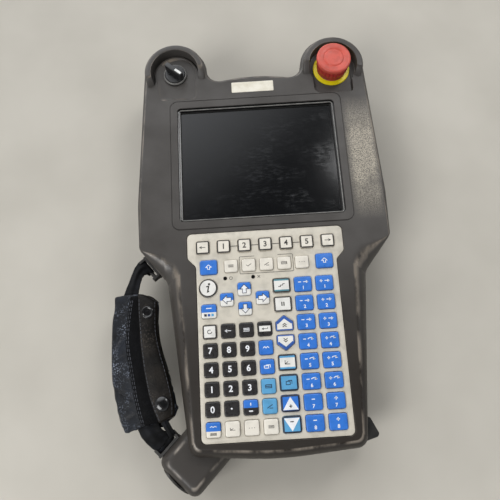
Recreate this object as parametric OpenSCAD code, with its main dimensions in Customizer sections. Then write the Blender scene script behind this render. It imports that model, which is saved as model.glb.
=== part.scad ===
/* [Housing] */
// Width across the head, over both long sides
head_w = 210; // [207:1:214]
// Length from the lobe tops to the lower edge
housing_l = 360; // [358:1:366]
// Depth from the rest face to the flat front face
housing_d = 61; // [60:0.5:66]
// Height of the joint between the two shells above the rest face
parting_z = 38; // [36:0.5:40]
// Wall thickness of both shells
wall = 3; // [2.5:0.1:3.2]
// Radius of the two round lobes that carry the emergency stop and the selector
lobe_r = 27; // [26:0.5:28]
// Distance of the emergency stop's lobe from the centreline
lobe_x = 72; // [71:0.5:73]
// Distance of the selector's lobe from the centreline
left_lobe_x = 70.3; // [69.8:0.1:71.3]
// How far the horseshoe guards stand above the front face
guard_h = 7.5; // [5:0.5:10]

/* [Display] */
// Width of the display window
window_w = 134.4; // [130:0.2:136]
// Height of the display window
window_h = 101.4; // [98:0.2:103]
// Depth of the glass below the front face
glass_depth = 4.2; // [3.8:0.1:5]

/* [Keypad] */
// Side of a square key in the number block
key_s = 10.9; // [10:0.1:11.4]
// Width of the wide motion keys
wide_w = 13.8; // [13:0.1:14.6]
// Height of the wide motion keys
wide_h = 11.8; // [11:0.1:12.6]
// Distance between number columns
num_pitch = 14.4; // [14.2:0.05:14.6]
// Distance between motion rows
jog_pitch = 15.07; // [14.9:0.01:15.2]
// How far a key stands above the faceplate
key_proud = 1.6; // [1.2:0.1:2.2]
// How far a key travels when pressed
key_travel = 0.8; // [0.5:0.1:1]
// Side clearance between a key and its opening
key_gap = 0.3; // [0.2:0.05:0.35]

/* [Emergency stop] */
// Diameter of the mushroom head
stop_head_d = 30; // [28:0.5:32]
// Travel of the mushroom head when it is struck
stop_travel = 4.5; // [3:0.5:5]
// Diameter of the yellow ring
stop_ring_d = 33; // [31:0.5:35]

/* [Selector] */
// Diameter of the selector's bezel
sel_bezel_d = 21; // [20:0.5:23]
// Diameter of the selector's knob
sel_knob_d = 18; // [16:0.2:19]
// Height of the knob's handle above the bezel
sel_handle_h = 7.5; // [6:0.5:10]

/* [Enabling levers] */
// Length of each rear enabling lever
lever_l = 78; // [72:1:82]
// Width of each rear enabling lever
lever_w = 15; // [13:0.5:16]
// Full squeeze of a lever, in degrees
lever_swing = 3.5; // [2:0.5:4]

/* [Cable outlet] */
// Width of the block that carries the cable connector
outlet_w = 41; // [39:0.5:42]
// Radius of the connector's socket
socket_r = 9.5; // [8.5:0.5:10]
// Depth of the connector's socket
socket_l = 12; // [10:0.5:14]

/* [Fits] */
// Gap between a moving piece and its neighbour
move_gap = 0.3; // [0.25:0.05:0.4]
// Radial running clearance of a shaft in its bore
run_gap = 0.08; // [0.05:0.01:0.1]
// Clearance round a seated piece
seat_gap = 0.35; // [0.2:0.05:0.5]

/* [Hidden] */
$fn = 48;
$fa = 1;

half_l = housing_l / 2;
front_z = housing_d;

// ---- outlines -------------------------------------------------------------------------------
// A corner is [x, y, radius]. Each half runs from the lower edge's middle to the top edge's middle;
// the left half is mirrored, with its own distance to the lobe.
waist_x = head_w / 2 - 22.5;
tail_x = 67.6;
valley_y = half_l - 39.7;
crown_y = half_l - 33.6;
function side_half(lobe) = [
    [0, -half_l - 0.5, 300],
    [tail_x, -half_l + 4.8, 9],
    [waist_x, -39.5, 14],
    [head_w / 2 - 0.5, -11.5, 9],
    [head_w / 2 + 0.2, 27, 150],
    [lobe + lobe_r + 0.2, half_l - 0.5, lobe_r],
    [lobe - lobe_r - 0.2, half_l - 0.5, lobe_r],
    [lobe - lobe_r - 1.9, valley_y, 11.5],
    [0, crown_y, 150]
];
// The edge of the flat front face: wide roundings on the grip, tight ones on the head
head_edge = 3.5;
function shoulder_half(lobe) = [
    [0, -half_l + 8.5, 300],
    [tail_x - 6.3, -half_l + 12.5, 5],
    [waist_x - 13.5, -20.5, 18],
    [head_w / 2 - head_edge + 0.3, -13.6, 3.5],
    [head_w / 2 - head_edge + 0.4, 27, 150],
    [lobe + lobe_r - head_edge + 0.2, half_l - 0.5 - head_edge, lobe_r - head_edge],
    [lobe - lobe_r + head_edge - 0.2, half_l - 0.5 - head_edge, lobe_r - head_edge],
    [lobe - lobe_r + head_edge - 1.9, valley_y - head_edge, 11.5 + head_edge],
    [0, crown_y - head_edge, 150]
];
// Drop of the front edge's rounding at each corner
edge_drop = [14, 14, 14, 6, head_edge, head_edge, head_edge, head_edge, head_edge];
arc_steps = 6;

function unit(v) = v / norm(v);
function at(list, i) = list[(i + len(list)) % len(list)];
function mirrored(p) = [-p.x, p.y, p[2]];
function joined(right, left) = concat(right, [for (i = [len(left) - 2:-1:1]) mirrored(left[i])]);
function both_sides(half) = joined(half, half);
function both_values(half) = concat(half, [for (i = [len(half) - 2:-1:1]) half[i]]);

// One rounded corner b between neighbours a and d, as steps + 1 points
function corner_arc(a, b, d, steps) =
    let (u = unit([a.x - b.x, a.y - b.y]),
         v = unit([d.x - b.x, d.y - b.y]),
         half_angle = acos(u * v) / 2,
         centre = [b.x, b.y] + unit(u + v) * b[2] / sin(half_angle),
         start = [b.x, b.y] + u * b[2] / tan(half_angle) - centre,
         finish = [b.x, b.y] + v * b[2] / tan(half_angle) - centre,
         from = atan2(start.y, start.x),
         turn = (atan2(finish.y, finish.x) - from + 540) % 360 - 180)
    [for (k = [0:steps]) centre + b[2] * [cos(from + turn * k / steps), sin(from + turn * k / steps)]];
function rounded(corners, steps = arc_steps) =
    [for (i = [0:len(corners) - 1])
        each corner_arc(at(corners, i - 1), corners[i], at(corners, i + 1), steps)];

// Corners moved inward by d, with the radii that keep the arcs concentric
function edge_normal(a, b) = let (e = unit([b.x - a.x, b.y - a.y])) [-e.y, e.x];
function inset(corners, d) =
    [for (i = [0:len(corners) - 1])
        let (n1 = edge_normal(at(corners, i - 1), corners[i]),
             n2 = edge_normal(corners[i], at(corners, i + 1)),
             convex = n1.x * n2.y - n1.y * n2.x > 0,
             p = [corners[i].x, corners[i].y] + (n1 + n2) * d / (1 + n1 * n2))
        [p.x, p.y, max(corners[i][2] + (convex ? -d : d), 1)]];

side_outline = joined(side_half(lobe_x), side_half(left_lobe_x));
shoulder_outline = joined(shoulder_half(lobe_x), shoulder_half(left_lobe_x));
drops = [for (d = both_values(edge_drop)) each [for (k = [0:arc_steps]) d]];

// A closed skin through rings of equally many points, given from the lowest ring to the highest
module skin(rings) {
    n = len(rings[0]);
    sides = [for (k = [0:len(rings) - 2]) for (i = [0:n - 1])
        let (a = k * n + i, b = k * n + (i + 1) % n)
        each [[a, a + n, b + n], [a, b + n, b]]];
    last = (len(rings) - 1) * n;
    polyhedron(points = [for (r = rings) each r],
               faces = concat(sides, [[for (i = [0:n - 1]) i]], [[for (i = [n - 1:-1:0]) last + i]]),
               convexity = 8);
}
function ring(points, z) = [for (p = points) [p.x, p.y, z]];

// The front edge's rounding: a quarter ellipse from the side outline up to the front face's edge
function front_rings(side, shoulder, top_z, turns) =
    [for (t = turns) [for (i = [0:len(side) - 1])
        let (p = shoulder[i] + (side[i] - shoulder[i]) * sin(t))
        [p.x, p.y, top_z - drops[i] * (1 - cos(t))]]];

// ---- placing --------------------------------------------------------------------------------
lobe_y = half_l - 32;
left_lobe_y = lobe_y + 1.5;
stop_at = [lobe_x - 0.7, lobe_y - 0.5];
selector_at = [-left_lobe_x - 0.2, left_lobe_y];
stop_floor_z = front_z - 3;
selector_floor_z = front_z - 1;
lobe_plate = 3.4;
front_wall = 3.4;
selector_plate = 5;
guard_t = 5.8;

window_mid = [0, 62];
recess_margin = 2.1;
recess_depth = 1.6;

// the first key of the number block, the rows below it and the round key above it
num_x = -48;
num_y = -83;
num_row = 14.5;
info_at = [num_x, -48.2];
info_d = 14.7;

plate_t = 2;
plate_top = front_z - 0.4;
plate_bottom = plate_top - plate_t;
plate_margin = 1.95;
plate_step = 6.7;
plate_low_w = 2 * (info_d / 2 - info_at.x + plate_margin);
plate_w = plate_low_w + 2 * plate_step;
plate_corners = let (top = -2, bottom = num_y - 5 * num_row - 9.8) [
    [-plate_low_w / 2, bottom, 4], [plate_low_w / 2, bottom, 4],
    [plate_low_w / 2, -30, 4], [plate_w / 2, -23, 4], [plate_w / 2, top, 4],
    [-plate_w / 2, top, 4], [-plate_w / 2, -23, 4], [-plate_low_w / 2, -30, 4]];
plate_steps = 3;
ledge_w = 1;

flange_t = 1.4;
flange_w = 0.6;
flange_top = plate_bottom - move_gap;
mat_top = flange_top - flange_t - key_travel - move_gap;
mat_t = 1.2;
board_t = 1.6;
board_top = mat_top - mat_t;

glass_top = front_z - glass_depth;
glass_t = 2;
glass_w = window_w + 9;
glass_h = window_h + 9;
seal_t = 0.7;
lcd_t = 7;

gasket_t = 0.8;
front_low = parting_z + gasket_t / 2;
rear_high = parting_z - gasket_t / 2;
deck_z = 14;
deck_round = 11;
main_board_z = 27;
main_board_w = window_w - 10.4;
main_board_h = window_h - 1.4;

screw_r = 1.9;
screw_hole_r = 2.2;
screw_head_r = 3.6;
screw_half = [[head_w / 2 - 13, 96], [head_w / 2 - 13, 4], [30, valley_y - 11.8], [waist_x - 12.5, -44],
              [tail_x - 6.6, 22 - half_l]];
screw_at = [for (p = screw_half) for (s = [-1, 1]) [s * p.x, p.y]];
screw_head_t = 3;
screw_head_z = deck_z + screw_head_t + 0.4;

// ---- key layout -----------------------------------------------------------------------------
// A key is [x, y, width, height, shape]
function_s = 10.8;
function_pitch = (plate_w - 25.58) / 6;
menu_h = 10;
arrow_s = 10.4;
arrow_reach = [14.3, 7.9];
prog_x = 10.8;
jog_x = 28.05;
jog_step = 17.25;
jog_y = -49.4;
menu_y = -31.2;
arrow_at = [-19.1, -58.4];
function num_key(col, row) = [num_x + num_pitch * col, num_y - num_row * row, key_s, key_s, "square"];
function wide_key(x, row, shape = "square") = [x, jog_y - jog_pitch * row, wide_w, wide_h, shape];
function jog_pair(row) = [for (i = [0, 1]) wide_key(jog_x + jog_step * i, row)];
LAYOUT = [
    ["key_function_row", [for (i = [-3:3]) [function_pitch * i, -14.3, function_s, function_s, "square"]]],
    ["key_menu_row", [for (i = [-2:2]) [num_pitch * i, menu_y, function_s, menu_h, "square"]]],
    ["key_shift_left", [[-47, menu_y, wide_w, wide_h, "square"]]],
    ["key_shift_right", [[47, menu_y, wide_w, wide_h, "square"]]],
    ["key_info", [[info_at.x, info_at.y, info_d, info_d, "round"]]],
    ["key_display", [[info_at.x, -66.9, wide_w - 2, key_s, "square"]]],
    ["key_arrows", [
        [arrow_at.x, arrow_at.y + arrow_reach.y, arrow_s, arrow_s, "square"],
        [arrow_at.x, arrow_at.y - arrow_reach.y, arrow_s, arrow_s, "square"],
        [arrow_at.x - arrow_reach.x, arrow_at.y, arrow_s, arrow_s, "square"],
        [arrow_at.x + arrow_reach.x, arrow_at.y, arrow_s, arrow_s, "square"]]],
    ["key_step", [wide_key(prog_x, 0)]],
    ["key_hold", [wide_key(prog_x, 1)]],
    ["key_forward", [wide_key(prog_x, 2, "house_up")]],
    ["key_backward", [wide_key(prog_x, 3, "house_down")]],
    ["key_frame_select", [wide_key(prog_x, 4), wide_key(prog_x, 5)]],
    ["key_speed", [wide_key(prog_x, 6), wide_key(prog_x, 7)]],
    ["key_row_edit", [for (i = [0:3]) num_key(i, 0)]],
    ["key_row_789", [for (i = [0:2]) num_key(i, 1)]],
    ["key_row_456", [for (i = [0:2]) num_key(i, 2)]],
    ["key_row_123", [for (i = [0:2]) num_key(i, 3)]],
    ["key_row_0", [for (i = [0:2]) num_key(i, 4)]],
    ["key_column_macro", [for (i = [1:4]) num_key(3, i)]],
    ["key_row_bottom", [for (i = [0:3]) num_key(i, 5)]],
    ["jog_1", jog_pair(0)], ["jog_2", jog_pair(1)], ["jog_3", jog_pair(2)], ["jog_4", jog_pair(3)],
    ["jog_5", jog_pair(4)], ["jog_6", jog_pair(5)], ["jog_7", jog_pair(6)], ["jog_8", jog_pair(7)]
];
lamp_at = [[-34, -40.9], [-11.4, -40.9]];
lamp_r = 1.5;

// A key's outline, grown by g on every side
module key_outline(key, g) {
    w = key[2] / 2 + g;
    h = key[3] / 2 + g;
    c = 1.2;
    roof = 5;
    translate([key.x, key.y])
        if (key[4] == "round") circle(r = w);
        else if (key[4] == "square")
            polygon([[-w + c, -h], [w - c, -h], [w, -h + c], [w, h - c],
                     [w - c, h], [-w + c, h], [-w, h - c], [-w, -h + c]]);
        else mirror([0, key[4] == "house_up" ? 0 : 1])
            polygon([[-w + c, -h], [w - c, -h], [w, -h + c], [w, h - roof],
                     [c, h], [-c, h], [-w, h - roof], [-w, -h + c]]);
}

// All keys of one node: a cap through the faceplate and a flange that the faceplate holds down
module keys(name) {
    for (group = LAYOUT)
        if (group[0] == name)
            for (key = group[1]) {
                translate([0, 0, flange_top - 0.01])
                    linear_extrude(plate_top + key_proud - flange_top + 0.01) key_outline(key, 0);
                translate([0, 0, flange_top - flange_t]) linear_extrude(flange_t) key_outline(key, flange_w);
            }
}

// ---- housings -------------------------------------------------------------------------------
// The horseshoe guard round a lobe, its top edge narrower than its foot
guard_from = -14;
guard_to = 206;
guard_steps = 20;
guard_r = lobe_r - 0.3;
pocket_r = guard_r - guard_t;
module guard(foot_z) {
    n = guard_steps;
    function turn(k) = guard_from + (guard_to - guard_from) * k / n;
    function band(d) = concat(
        [for (k = [0:n]) (guard_r - d) * [cos(turn(k)), sin(turn(k))]],
        [for (k = [n:-1:0]) (pocket_r + d) * [cos(turn(k)), sin(turn(k))]]);
    skin([for (b = [[0, foot_z], [0, front_z + guard_h - 2.4], [0.5, front_z + guard_h - 0.9],
                    [1.3, front_z + guard_h]]) ring(band(b[0]), b[1])]);
}

module screw_holes(r, low, high) {
    for (p = screw_at) translate([p.x, p.y, low]) cylinder(r = r, h = high - low, $fn = 20);
}

// A screw post that leans into the nearest wall
module post(p, low, high, r = 4) {
    hull() {
        translate([p.x, p.y, low]) cylinder(r = r, h = high - low, $fn = 16);
        translate([p.x * 1.02, p.y, high - 4]) cylinder(r = r, h = 4, $fn = 16);
    }
}

module rounded_box(w, h, r, low, high, mid = [0, 0]) {
    translate([0, 0, low]) linear_extrude(high - low)
        polygon(rounded([[mid.x - w / 2, mid.y - h / 2, r], [mid.x + w / 2, mid.y - h / 2, r],
                         [mid.x + w / 2, mid.y + h / 2, r], [mid.x - w / 2, mid.y + h / 2, r]], 4));
}

module pocket_floor(corners, low, high) {
    translate([0, 0, low]) linear_extrude(high - low) polygon(rounded(corners, 4));
}
module stop_pocket() {
    half_w = stop_ring_d / 2 + 0.7;
    low_y = stop_at.y - 24.7;
    pocket_floor([[stop_at.x - half_w, low_y, 6], [stop_at.x + half_w, low_y, 2.5],
                  [stop_at.x + half_w, stop_at.y, 3], [stop_at.x - half_w, stop_at.y, 3]],
                 stop_floor_z, front_z + 1);
    translate([lobe_x, lobe_y, stop_floor_z]) cylinder(r = pocket_r, h = 20);
}
// A shallow floor round the selector that runs out towards the outer side, a narrow lip, and a deep
// crescent between the lip and the guard
lip_r = 19.1;
lip_t = 1.7;
lip_at = selector_at + [0.7, 0.2];
crescent_depth = 3.6;
module selector_pocket() {
    right = selector_at.x + 18;
    low_y = selector_at.y - 25.2;
    module floor_part(d, far, z, t) {
        translate([0, 0, z]) linear_extrude(t) hull() {
            translate(lip_at + d * [0.9, 0.43]) circle(r = lip_r - lip_t - d);
            translate([right - 3, low_y + 3]) circle(r = 3, $fn = 16);
            translate([right - far, low_y + 3]) circle(r = 3, $fn = 16);
        }
    }
    hull() {
        floor_part(3, 24, selector_floor_z, 0.1);
        floor_part(0, 33, front_z + 0.02, 0.5);
    }
    translate([0, 0, front_z - crescent_depth]) linear_extrude(20) difference() {
        translate([-left_lobe_x, left_lobe_y]) circle(r = pocket_r);
        translate(lip_at) circle(r = lip_r);
        translate([-left_lobe_x, left_lobe_y]) polygon([[-30, -13.5], [-30, -40], [30, -40], [30, 2.5]]);
    }
}

module front_housing() {
    side = rounded(side_outline);
    shoulder = rounded(shoulder_outline);
    side_in = rounded(inset(side_outline, wall));
    shoulder_in = rounded(inset(shoulder_outline, wall));
    color("#5f5c57") difference() {
        union() {
            difference() {
                skin(concat([ring(side, front_low)],
                            front_rings(side, shoulder, front_z, [90, 67.5, 45, 22.5, 0])));
                skin(concat([ring(side_in, front_low - 1)],
                            front_rings(side_in, shoulder_in, front_z - front_wall, [90, 60, 30, 0])));
            }
            translate([lobe_x, lobe_y, 0]) mirror([1, 0, 0]) guard(front_z - 3);
            translate([-left_lobe_x, left_lobe_y, 0]) guard(front_z - 3);
            translate([stop_at.x, stop_at.y, stop_floor_z - lobe_plate])
                cylinder(r = 22, h = lobe_plate + 0.5, $fn = 32);
            rounded_box(stop_ring_d + 4, 36, 5, stop_floor_z - lobe_plate, stop_floor_z + 0.5,
                        [stop_at.x, stop_at.y - 8]);
            translate([-left_lobe_x, left_lobe_y, selector_floor_z - selector_plate])
                cylinder(r = lobe_r - 2, h = selector_plate + 0.5);
            // ledge that carries the faceplate and the key board
            translate([0, 0, board_top]) linear_extrude(front_z - front_wall + 0.5 - board_top)
                polygon(rounded(inset(plate_corners, -2), plate_steps));
            rounded_box(glass_w + 5, glass_h + 5, 4, glass_top - glass_t, front_z - 1, window_mid);
            intersection() {
                for (p = screw_at) post(p, front_low - 3, front_z - 2);
                skin(concat([ring(side_in, front_low)],
                            front_rings(side_in, shoulder_in, front_z - front_wall + 0.2, [90, 60, 30, 0])));
            }
        }
        // faceplate recess and the opening for the keys
        translate([0, 0, plate_bottom]) linear_extrude(10)
            polygon(rounded(inset(plate_corners, -seat_gap), plate_steps));
        translate([0, 0, board_top - 1]) linear_extrude(10)
            polygon(rounded(inset(plate_corners, ledge_w), plate_steps));
        // display recess, window and the seat of the glass
        rounded_box(window_w + 2 * recess_margin, window_h + 2 * recess_margin, 2.5,
                    front_z - recess_depth, front_z + 1, window_mid);
        rounded_box(window_w, window_h, 1.5, glass_top - 1, front_z, window_mid);
        rounded_box(glass_w + 0.6, glass_h + 0.6, 2, glass_top - glass_t - 1, glass_top + seal_t, window_mid);
        // pocket and panel hole of the emergency stop
        stop_pocket();
        translate([stop_at.x, stop_at.y, 30]) cylinder(r = stop_barrel_r + seat_gap, h = 40, $fn = 32);
        // shallow pocket and panel hole of the selector, its floor running out towards the outer side
        selector_pocket();
        translate([selector_at.x, selector_at.y, 30]) cylinder(r = sel_barrel_r + seat_gap, h = 40, $fn = 32);
        screw_holes(screw_r + 0.15, front_low - 5, front_z - 14);
    }
}

hump_corners = both_sides([[0, -half_l + 13, 200], [37, -half_l + 14, 10], [39, -42, 25],
                           [head_w / 2 - 27, -4, 16], [head_w / 2 - 25, 118, 16], [0, 119.5, 300]]);
floor_z = deck_z + wall;
board_post_x = main_board_w / 2 - 12;
board_posts = [for (y = [20, main_board_h - 2]) for (s = [-1, 1]) [s * board_post_x, y]];

module rear_housing() {
    side = rounded(side_outline);
    deck = rounded(inset(side_outline, 8));
    side_in = rounded(inset(side_outline, wall));
    deck_in = rounded(inset(side_outline, 8 + wall));
    function fall(outer, inner, low, high, turns) =
        [for (t = turns) [for (i = [0:len(outer) - 1])
            let (p = inner[i] + (outer[i] - inner[i]) * sin(t))
            [p.x, p.y, low + (high - low) * (1 - cos(t))]]];
    hump = function(d) rounded(inset(hump_corners, d), 4);
    color("#4b4844") difference() {
        union() {
            skin(concat(fall(side, deck, deck_z, deck_z + deck_round, [0, 30, 60, 90]),
                        [ring(side, rear_high)]));
            skin([ring(hump(6), 0), ring(hump(4.4), 0.6), ring(hump(0), deck_z + 1)]);
        }
        difference() {
            union() {
                skin(concat(fall(side_in, deck_in, deck_z + wall, deck_z + wall + deck_round, [0, 45, 90]),
                            [ring(side_in, rear_high + 1)]));
                skin([ring(hump(6 + wall), wall), ring(hump(wall), deck_z + wall + 1)]);
            }
            // screw posts and the posts that carry the main board
            for (p = screw_at) post(p, deck_z - 1, rear_high);
            for (p = board_posts) post(p, 1, main_board_z, 3);
        }
        screw_holes(screw_hole_r, deck_z - 5, rear_high + 1);
        screw_holes(screw_head_r + 0.4, deck_z - 8, screw_head_z);
        // windows of the enabling levers
        for (s = [-1, 1]) translate([s * lever_x - lever_w / 2 - lever_gap, lever_y - lever_l, deck_z - 6])
            cube([lever_w + 2 * lever_gap, lever_l + 4, floor_z - deck_z + 7]);
    }
}

module housing_gasket() {
    color("#26251f") translate([0, 0, rear_high]) linear_extrude(gasket_t) difference() {
        polygon(rounded(inset(side_outline, 0.9)));
        polygon(rounded(inset(side_outline, wall - 0.4)));
    }
}

// ---- keypad ---------------------------------------------------------------------------------
module key_faceplate() {
    color("#cfc8ba") translate([0, 0, plate_bottom]) difference() {
        linear_extrude(plate_t) polygon(rounded(plate_corners, plate_steps));
        for (group = LAYOUT) for (key = group[1])
            translate([0, 0, -1]) linear_extrude(plate_t + 2) key_outline(key, key_gap);
        for (p = lamp_at) translate([p.x, p.y, -1]) cylinder(r = lamp_r + 0.1, h = plate_t + 2);
    }
}

module keypad_mat() {
    color("#8e8c86") translate([0, 0, board_top]) linear_extrude(mat_t) difference() {
        polygon(rounded(inset(plate_corners, ledge_w + 0.4), plate_steps));
        for (p = lamp_at) translate(p) circle(r = 2.4);
    }
}

module key_board() {
    color("#2f6b3c") translate([0, 0, board_top - board_t]) linear_extrude(board_t)
        polygon(rounded(inset(plate_corners, 0.6), plate_steps));
}

// Two light pipes that stand on the key board and end level with the faceplate
module status_lamps() {
    color("#1d1d1b") for (p = lamp_at) translate([p.x, p.y, board_top]) {
        cylinder(r = lamp_r, h = plate_top + 0.2 - board_top);
        cylinder(r = 2, h = plate_bottom - board_top - 0.3);
    }
}

// ---- display --------------------------------------------------------------------------------
module display_gasket() {
    color("#161616") difference() {
        rounded_box(glass_w, glass_h, 2, glass_top, glass_top + seal_t, window_mid);
        rounded_box(window_w - 1, window_h - 1, 1.5, glass_top - 1, glass_top + seal_t + 1, window_mid);
    }
}
module touch_panel() {
    color("#1b1d20") rounded_box(glass_w, glass_h, 2, glass_top - glass_t, glass_top, window_mid);
}
module lcd_module() {
    low = glass_top - glass_t - lcd_t;
    color("#9a9c9e") {
        rounded_box(glass_w - 1, glass_h - 1, 1.5, low, low + lcd_t, window_mid);
        for (s = [-1, 1]) translate([s * window_w * 0.3, window_mid.y, low - 1.5])
            cube([window_w * 0.22, window_h * 0.6, 3.1], center = true);
    }
}
module main_board() {
    color("#2a5d38") {
        translate([-main_board_w / 2, 10, main_board_z]) cube([main_board_w, main_board_h, board_t]);
        for (p = [[-40, 40, 26, 26], [10, 36, 32, 32], [-44, 80, 18, 22], [18, 84, 40, 14]])
            translate([p.x, p.y, main_board_z + board_t - 0.01]) cube([p[2], p[3], 4]);
    }
}

// ---- emergency stop -------------------------------------------------------------------------
stop_barrel_r = 8;
stop_stem_r = 4;
stop_ring_t = 1.6;
stop_collar_r = stop_head_d / 2 - 2.4;
stop_collar_h = 8;
stop_skirt_low = stop_floor_z + stop_ring_t + stop_travel + 0.5;
stop_top = stop_skirt_low + 11.4;
stop_stem_top = stop_top - 2.6;
stop_skirt_r = stop_head_d / 2 - 0.8;
stop_hollow_top = stop_top - 4.6;
panel_low = stop_floor_z - lobe_plate;
nut_t = 3;
stop_block_top = panel_low - 6;
module stop_bezel() {
    color("#e9d800") translate([stop_at.x, stop_at.y, 0]) difference() {
        union() {
            translate([0, 0, stop_floor_z]) cylinder(d = stop_ring_d, h = stop_ring_t);
            translate([0, 0, stop_floor_z]) cylinder(r = stop_collar_r, h = stop_collar_h);
            translate([0, 0, stop_block_top])
                cylinder(r = stop_barrel_r, h = stop_floor_z - stop_block_top + 1);
        }
        translate([0, 0, stop_block_top - 1]) cylinder(r = stop_stem_r + run_gap, h = 30);
        translate([0, 0, stop_floor_z - 1]) cylinder(r = stop_stem_r + 3, h = 10);
    }
}
// The stem slides in the bezel; a collar under the barrel keeps it from coming out
module stop_stem() {
    color("#6d6f71") translate([stop_at.x, stop_at.y, 0]) {
        translate([0, 0, stop_block_top - 4])
            cylinder(r = stop_stem_r, h = stop_stem_top - stop_block_top + 4);
        translate([0, 0, stop_block_top - 3.2]) cylinder(r = stop_stem_r + 1.6, h = 3.2 - move_gap);
    }
}
module stop_head() {
    color("#d6453c") translate([stop_at.x, stop_at.y, 0]) difference() {
        rotate_extrude() polygon([
            [0, stop_skirt_low], [stop_skirt_r, stop_skirt_low], [stop_skirt_r + 0.3, stop_top - 5.6],
            [stop_head_d / 2, stop_top - 4.8], [stop_head_d / 2, stop_top - 2],
            [stop_head_d / 2 - 0.8, stop_top - 0.6], [stop_head_d / 2 - 2.4, stop_top], [0, stop_top]]);
        translate([0, 0, stop_skirt_low - 1])
            cylinder(r = stop_stem_r + run_gap, h = stop_stem_top - stop_skirt_low + 1 + move_gap);
        translate([0, 0, stop_skirt_low - 1]) difference() {
            cylinder(r = stop_collar_r + 0.5, h = stop_hollow_top - stop_skirt_low + 1);
            cylinder(r = stop_stem_r + 2.4, h = 30);
        }
        // grooves of the twist grip
        for (a = [0:15:345]) rotate([0, 0, a])
            translate([stop_skirt_r + 0.6, 0, stop_skirt_low - 0.1]) cylinder(r = 0.9, h = 4.6, $fn = 6);
    }
}
module stop_contact_block() {
    color("#3b3b3b") translate([stop_at.x, stop_at.y, 0]) difference() {
        translate([-11, -11, stop_block_top - 16]) cube([22, 22, 16]);
        translate([0, 0, stop_block_top - 4 - stop_travel - 1]) cylinder(r = stop_stem_r + 2, h = 30);
    }
}

// ---- selector -------------------------------------------------------------------------------
sel_barrel_r = 7;
sel_shaft_r = 3;
sel_bezel_t = 2.4;
sel_panel_low = selector_floor_z - selector_plate;
sel_block_top = sel_panel_low - 6;
sel_knob_low = selector_floor_z + 0.6;
sel_knob_top = selector_floor_z + sel_bezel_t + 1;
sel_handle_top = sel_knob_top + sel_handle_h;
handle_w = 4.6;
handle_l = 18.4;
sel_rest_angle = -40;
pointer_l = 6.8;
pointer_w = 2.2;
module selector_bezel() {
    color("#1e1e1e") translate([selector_at.x, selector_at.y, 0]) difference() {
        union() {
            translate([0, 0, selector_floor_z]) cylinder(d = sel_bezel_d, h = sel_bezel_t);
            translate([0, 0, sel_block_top])
                cylinder(r = sel_barrel_r, h = selector_floor_z - sel_block_top + 0.5);
        }
        translate([0, 0, sel_knob_low - move_gap]) cylinder(d = sel_knob_d + 2 * move_gap, h = 10);
        translate([0, 0, sel_block_top - 1]) cylinder(r = sel_shaft_r + run_gap, h = 30);
    }
}
module selector_knob() {
    color("#222222") translate([selector_at.x, selector_at.y, 0]) difference() {
        union() {
            translate([0, 0, sel_knob_low]) cylinder(d = sel_knob_d, h = sel_knob_top - sel_knob_low);
            translate([0, 0, sel_block_top - 3])
                cylinder(r = sel_shaft_r, h = sel_knob_low - sel_block_top + 3.5);
            translate([0, 0, sel_block_top - 2.8]) cylinder(r = sel_shaft_r + 1.5, h = 2.8 - move_gap);
            rotate([0, 0, sel_rest_angle])
                translate([-handle_l / 2, -handle_w / 2, sel_knob_top - 0.3])
                    cube([handle_l, handle_w, sel_handle_h + 0.3]);
        }
        pointer_place() cube([pointer_l, pointer_w, 2]);
    }
}
module pointer_place() {
    rotate([0, 0, sel_rest_angle])
        translate([handle_l / 2 - 0.9 - pointer_l, -pointer_w / 2, sel_handle_top - 0.6]) children();
}
module selector_pointer() {
    color("#e8e8e4") translate([selector_at.x, selector_at.y, 0])
        pointer_place() cube([pointer_l, pointer_w, 0.7]);
}
module selector_switch_block() {
    color("#3b3b3b") translate([selector_at.x, selector_at.y, 0]) difference() {
        translate([-9, -9, sel_block_top - 14]) cube([18, 18, 14]);
        translate([0, 0, sel_block_top - 4.2]) cylinder(r = sel_shaft_r + 2, h = 30);
    }
}
// Ring nuts that clamp both devices to the front shell from inside
module panel_nuts() {
    color("#77797b") {
        translate([stop_at.x, stop_at.y, panel_low - nut_t]) difference() {
            cylinder(r = stop_barrel_r + 4, h = nut_t);
            translate([0, 0, -1]) cylinder(r = stop_barrel_r + 0.05, h = nut_t + 2);
        }
        translate([selector_at.x, selector_at.y, sel_panel_low - nut_t]) difference() {
            cylinder(r = sel_barrel_r + 4, h = nut_t);
            translate([0, 0, -1]) cylinder(r = sel_barrel_r + 0.05, h = nut_t + 2);
        }
    }
}

// ---- enabling levers ------------------------------------------------------------------------
lever_x = 53.5;
lever_y = -58;
lever_z = floor_z + 3;
lever_low = 4 - lever_z;
lever_high = 2.6;
lever_gap = 0.6;
lever_pin_r = 1.5;
ear_t = 2.5;
tab = 3.4;
// The lever's profile in the y-z plane, with the pivot at the origin. Its tab catches behind the
// window's edge
module lever_profile() {
    tip = 5 - lever_l;
    tab_low = floor_z + move_gap - lever_z;
    polygon([[tip, lever_low + 3], [tip + 4, lever_low + 0.4], [-lever_l * 0.55, lever_low],
             [-14, lever_low + 1.2], [-4, lever_low + 6], [1, -3.4], [2.6, -2.2],
             [2.6, lever_high], [tip - tab, lever_high], [tip - tab, tab_low], [tip, tab_low]]);
}
module lever(s) {
    color("#3a3936") translate([s * lever_x, lever_y, lever_z]) difference() {
        translate([-lever_w / 2, 0, 0]) rotate([90, 0, 90]) linear_extrude(lever_w) lever_profile();
        translate([-lever_w, 0, 0]) rotate([0, 90, 0]) cylinder(r = lever_pin_r + run_gap, h = 2 * lever_w);
    }
}
module enabling_lever_left() { lever(-1); }
module enabling_lever_right() { lever(1); }
module lever_pins() {
    l = lever_w + 2 * (ear_t + move_gap);
    color("#a8aaac") for (s = [-1, 1]) translate([s * lever_x - l / 2, lever_y, lever_z])
        rotate([0, 90, 0]) cylinder(r = lever_pin_r, h = l);
}
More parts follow.
